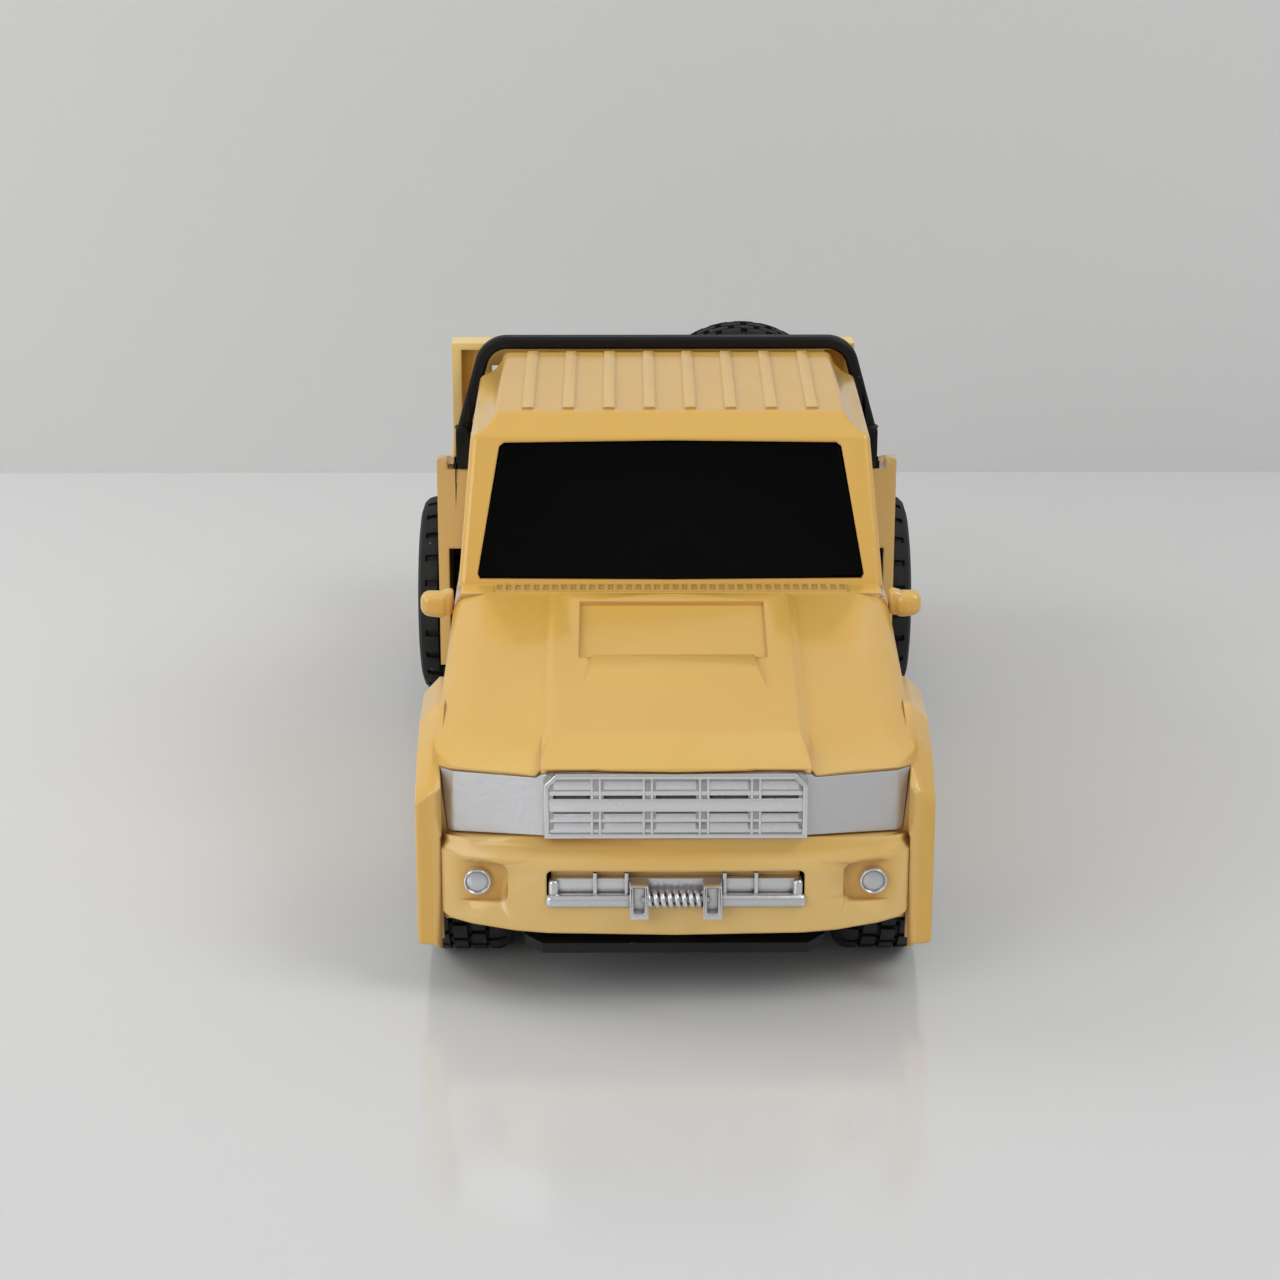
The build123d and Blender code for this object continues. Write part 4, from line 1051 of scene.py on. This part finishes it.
@dataclass
class Lamps:
    """Domed fog lamps in bezels, and ribbed tail lamps."""

    palette: Palette
    bezel: float = 0.4 * MM

    def fog_lamp(self, side: str) -> None:
        """Spin one fog lamp and face it forwards.

        Args:
            side: Its name's ending.
        """
        low, high = (Vector(corner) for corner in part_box(f"fog_lamp_{side}"))
        radius = (high.x - low.x) / 2
        depth = high.y - low.y
        outline = [(0.0, 0.0), (0.0, radius), (depth * 0.72, radius), (depth * 0.93, radius - 0.12 * MM),
                   (depth, radius - 0.3 * MM), (depth * 0.9, radius - self.bezel),
                   (depth * 0.74, radius - 0.5 * MM), (depth * 0.86, radius * 0.6),
                   (depth * 0.97, radius * 0.3), (depth, 0.0)]
        lamp = lathe(f"fog_lamp_{side}_moulding", outline, 48)
        move = Matrix.Translation(((low.x + high.x) / 2, high.y, (low.z + high.z) / 2))
        lamp.data.transform(move @ Matrix.Rotation(-math.pi / 2, 4, "Z"))
        take(lamp)
        bpy.ops.object.shade_smooth_by_angle(angle=math.radians(38))
        self.palette.dress(lamp, SILVER, BODY, f"fog_lamp_{side}")

    def tail_lamp(self, side: str) -> None:
        """Make one tail lamp: a rounded lens with a rim and upright ribs.

        Args:
            side: Its name's ending.
        """
        low, high = (Vector(corner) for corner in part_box(f"tail_lamp_{side}"))
        lens = add_block("tail_lens", low, high)
        sink_faces(lens, lambda c, n: n.y > 0.9, 0.5 * MM, (0.0, -0.3 * MM, 0.0))
        parts = [round_edges(lens, 0.15 * MM, segments=3)]
        for step in range(-3, 4):
            middle = (low.x + high.x) / 2 + step * 1.0 * MM
            rib = add_block("tail_rib", (middle - 0.2 * MM, low.y + 0.3 * MM, low.z + 0.45 * MM),
                            (middle + 0.2 * MM, high.y - 0.1 * MM, high.z - 0.45 * MM))
            parts.append(round_edges(rib, 0.12 * MM, segments=2))
        self.palette.dress(join_pieces(parts, f"tail_lamp_{side}_moulding"), RED, BODY, f"tail_lamp_{side}")

    def build(self) -> None:
        """Build the lamps of both sides."""
        for side in ("left", "right"):
            self.fog_lamp(side)
            self.tail_lamp(side)


@dataclass
class Mirrors:
    """Soft rounded mirror pods on short necks, each with a silvered face to the rear."""

    palette: Palette
    root: float = 35.2 * MM

    def build_side(self, side: str, sign: int) -> None:
        """Build one mirror.

        Args:
            side: Its name's ending.
            sign: +1 on the truck's left, -1 on its right.
        """
        low, high = (Vector(corner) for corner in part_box(f"mirror_{side}"))
        tip = max(abs(low.x), abs(high.x))
        ends = sorted((sign * (self.root + 0.9 * MM), sign * tip))
        pod = add_block("mirror_pod", (ends[0], low.y, low.z), (ends[1], high.y, high.z))
        pick_edges(pod, lambda a, b: (min(abs(a.x), abs(b.x)) > tip - SNAP and abs(a.y - b.y) > SNAP
                                      and a.z < high.z - SNAP))
        bpy.ops.transform.translate(value=(0.0, 0.0, 0.5 * MM))
        leave_edit()
        round_edges(pod, 1.45 * MM, segments=6, clamp=True, smooth=60.0)
        sink_faces(pod, lambda c, n: n.y > 0.98 and c.y > high.y - SNAP, 0.12 * MM, (0.0, -0.35 * MM, 0.0))
        neck_ends = sorted((sign * self.root, sign * (self.root + 2.6 * MM)))
        neck = add_block("mirror_neck", (neck_ends[0], low.y + 0.5 * MM, low.z + 0.5 * MM),
                         (neck_ends[1], high.y - 0.6 * MM, high.z - 0.1 * MM))
        neck_top = high.z - 0.2 * MM
        pick_edges(neck, lambda a, b: max(abs(a.x), abs(b.x)) < self.root + SNAP and min(a.z, b.z) > neck_top)
        bpy.ops.transform.translate(value=(0.0, 0.0, 0.8 * MM))
        leave_edit()
        round_edges(neck, 0.9 * MM, segments=5, clamp=True, smooth=60.0)
        mirror = join_pieces([pod, neck], f"mirror_{side}_moulding")
        self.palette.dress(mirror, YELLOW, BODY, f"mirror_{side}")
        middle = (ends[0] + ends[1]) / 2
        plate = add_block("mirror_plate", (middle - 1.0 * MM, high.y - 0.45 * MM, low.z + 1.55 * MM),
                          (middle + 1.0 * MM, high.y - 0.25 * MM, high.z - 1.3 * MM))
        round_edges(plate, 0.08 * MM, segments=2)
        plate.name = f"mirror_{side}_face"
        self.palette.dress(plate, SILVER, BODY)

    def build(self) -> None:
        """Build both mirrors."""
        self.build_side("left", 1)
        self.build_side("right", -1)


@dataclass
class CowlVent:
    """The strip of small vent slots between the hood and the windscreen."""

    palette: Palette
    half: float = 28.5 * MM
    front: float = 53.3 * MM
    back: float = 56.4 * MM
    bottom: float = 48.55 * MM
    top: float = 49.02 * MM
    slots: int = 38

    def build(self) -> None:
        """Build the strip with a row of sunk slots."""
        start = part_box("front_bumper")[0][1]
        strip = add_block("cowl_vent", (-self.half, start + self.front, self.bottom),
                          (self.half, start + self.back, self.top))
        for step in range(1, self.slots):
            cut = -self.half + step * 2 * self.half / self.slots
            pick_faces(strip, lambda c, n: True)
            bpy.ops.mesh.bisect(plane_co=(cut, 0.0, 0.0), plane_no=(1.0, 0.0, 0.0))
            leave_edit()
        pick_faces(strip, lambda c, n: n.z > 0.9)
        bpy.ops.mesh.inset(thickness=0.38 * MM, depth=0.0, use_individual=True)
        bpy.ops.mesh.extrude_region_shrink_fatten(TRANSFORM_OT_shrink_fatten={"value": -0.16 * MM})
        leave_edit()
        self.palette.dress(strip, YELLOW, BODY)


@dataclass
class DeckPlate:
    """Raised diamonds on the rear deck, as on a real tread plate."""

    palette: Palette
    pitch: float = 4.2 * MM
    across: int = 18
    along: int = 10
    rise: float = 0.22 * MM

    def build(self) -> None:
        """Model one diamond and repeat it in two staggered grids."""
        low, high = (Vector(corner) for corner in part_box("tow_bed"))
        deck = frame["record"]["mounts"][0]["pos_m"][2]
        back = high.y - 8.5 * MM
        diamonds = []
        for stagger in (0.0, 0.5):
            stone = add_block("deck_diamond", (-1.1 * MM, -0.42 * MM, -0.1 * MM),
                              (1.1 * MM, 0.42 * MM, self.rise))
            pick_faces(stone, lambda c, n: n.z > 0.9)
            bpy.ops.transform.resize(value=(0.55, 0.5, 1.0), center_override=(0.0, 0.0, self.rise))
            leave_edit()
            turn = math.radians(35.0 if stagger else -35.0)
            start = -(self.across - 1) * self.pitch / 2 + stagger * self.pitch - 0.25 * self.pitch
            first_row = back - (self.along + stagger) * self.pitch + self.pitch
            move = Matrix.Translation((start, first_row, deck))
            stone.data.transform(move @ Matrix.Rotation(turn, 4, "Z"))
            take(stone)
            for name, count, offset in (("across", self.across, (self.pitch, 0.0, 0.0)),
                                        ("along", self.along, (0.0, self.pitch, 0.0))):
                row = stone.modifiers.new(name, "ARRAY")
                row.use_relative_offset = False
                row.use_constant_offset = True
                row.count = count
                row.constant_offset_displace = offset
                bpy.ops.object.modifier_apply(modifier=row.name)
            diamonds.append(stone)
        self.palette.dress(join_pieces(diamonds, "deck_tread"), YELLOW, BODY)


# ------------------------------------------------------------------ studio
@dataclass(frozen=True)
class SoftLight:
    """A square soft light: where it hangs, what it faces, its side in metres and its watts."""

    name: str
    place: tuple[float, float, float]
    aim: tuple[float, float, float]
    size: float
    power: float
    mirrored: bool = True


@dataclass
class Studio:
    """Table, wall, lights and camera."""

    eye: tuple[float, float, float] = (-0.00759, -0.53387, 0.2127)
    tilt: float = 19.37
    turn: float = -0.3
    lens: float = 90.0
    table_end: float = 0.190
    room_light: float = 0.46
    lights: tuple[SoftLight, ...] = (
        SoftLight("key", (0.55, -0.35, 0.75), (0, 0, 0.03), 0.45, 2.6),
        SoftLight("top", (0.0, 0.1, 1.2), (0, 0, 0), 1.2, 0.8),
        SoftLight("fill", (-0.9, -0.9, 0.6), (0, 0, 0.04), 0.9, 5.2),
        SoftLight("back", (-0.5, 0.12, 0.35), (0, 0.02, 0.06), 0.3, 1.2, mirrored=False))

    def surface(self, name: str, color: tuple[float, float, float], roughness: float,
                specular: float) -> bpy.types.Material:
        """Plain material for the table or the wall.

        Args:
            name: The material's name.
            color: Its colour.
            roughness: Its roughness.
            specular: How strongly it reflects.

        Returns:
            The material.
        """
        material = bpy.data.materials.new(name)
        material.use_nodes = True
        shader = material.node_tree.nodes["Principled BSDF"]
        shader.inputs["Base Color"].default_value = (*color, 1.0)
        shader.inputs["Roughness"].default_value = roughness
        shader.inputs["Specular IOR Level"].default_value = specular
        return material

    def open_behind(self, material: bpy.types.Material) -> bpy.types.Material:
        """Let a material be seen through from behind, so that the wall hides nothing there.

        Args:
            material: The wall's material.

        Returns:
            The same material.
        """
        board = NodeBoard(material.node_tree)
        shader = material.node_tree.nodes["Principled BSDF"]
        output = material.node_tree.nodes["Material Output"]
        side = board.add("ShaderNodeNewGeometry")
        clear = board.add("ShaderNodeBsdfTransparent")
        mix = board.add("ShaderNodeMixShader")
        board.wire(side.outputs["Backfacing"], mix.inputs[0])
        board.wire(shader.outputs[0], mix.inputs[1])
        board.wire(clear.outputs[0], mix.inputs[2])
        board.wire(mix.outputs[0], output.inputs["Surface"])
        return material

    def build_room(self) -> None:
        """Lay the glossy table and stand the wall across it, behind the truck."""
        clear_selection()
        bpy.ops.mesh.primitive_plane_add(size=1, location=(0, 0, 0))
        bpy.context.object.scale = (6.0, 6.0, 1.0)
        table = name_new("table")
        table.data.materials.append(self.surface("table_top", (0.69, 0.692, 0.69), 0.14, 0.9))
        clear_selection()
        bpy.ops.mesh.primitive_plane_add(size=1, location=(0, self.table_end, 1.4),
                                         rotation=(math.pi / 2, 0, 0))
        bpy.context.object.scale = (6.0, 3.0, 1.0)
        wall = name_new("wall")
        paint = self.surface("wall_paint", (0.68, 0.682, 0.682), 0.9, 0.1)
        wall.data.materials.append(self.open_behind(paint))

    def add_light(self, light: SoftLight) -> None:
        """Hang a soft light.

        Args:
            light: Its place, aim, size and power, and whether it shows in glossy surfaces.
        """
        lamp = bpy.data.lights.new(light.name, "AREA")
        lamp.shape = "SQUARE"
        lamp.size = light.size
        lamp.energy = light.power
        holder = bpy.data.objects.new(light.name, lamp)
        holder.location = light.place
        holder.rotation_euler = (Vector(light.aim) - Vector(light.place)).to_track_quat("-Z", "Y").to_euler()
        holder.visible_glossy = light.mirrored
        bpy.context.collection.objects.link(holder)

    def build_lights(self) -> None:
        """Hang the lights and set the room's own soft light."""
        for light in self.lights:
            self.add_light(light)
        world = bpy.data.worlds.new("room_light")
        bpy.context.scene.world = world
        world.use_nodes = True
        sky = world.node_tree.nodes["Background"]
        sky.inputs["Color"].default_value = (1.0, 1.0, 1.0, 1.0)
        sky.inputs["Strength"].default_value = self.room_light

    def build_camera(self) -> None:
        """Set the camera where the truck is seen from."""
        data = bpy.data.cameras.new("camera")
        data.lens = self.lens
        data.sensor_width = 36.0
        data.clip_start = 0.01
        camera = bpy.data.objects.new("camera", data)
        camera.location = self.eye
        camera.rotation_euler = (math.radians(90.0 - self.tilt), 0.0, math.radians(self.turn))
        bpy.context.collection.objects.link(camera)
        bpy.context.scene.camera = camera
        bpy.context.scene.view_settings.view_transform = "Standard"

    def build(self) -> None:
        """Build the whole studio."""
        self.build_room()
        self.build_lights()
        self.build_camera()


def dress_frame(palette: Palette) -> None:
    """Give every CAD node a finish by its record slot, before any is replaced."""
    by_slot = {finish.slot: finish for finish in (YELLOW, BLACK, GLASS, SILVER, TYRE, WHEEL, STEEL, RED)}
    for row in frame["record"]["subparts"]:
        palette.dress(frame["nodes"][row["node"]], by_slot[row["material_slot"]])


def main() -> None:
    """Build the studio and every sub-assembly."""
    logging.basicConfig(level=logging.INFO, format="%(message)s")
    Studio().build()
    palette = Palette()
    dress_frame(palette)
    for part in (Panels, Wheels, Grille, WinchTrim, Lamps, Mirrors, CowlVent, DeckPlate):
        part(palette).build()
        LOG.info("built %s", part.__name__)


if __name__ == "__main__":
    main()
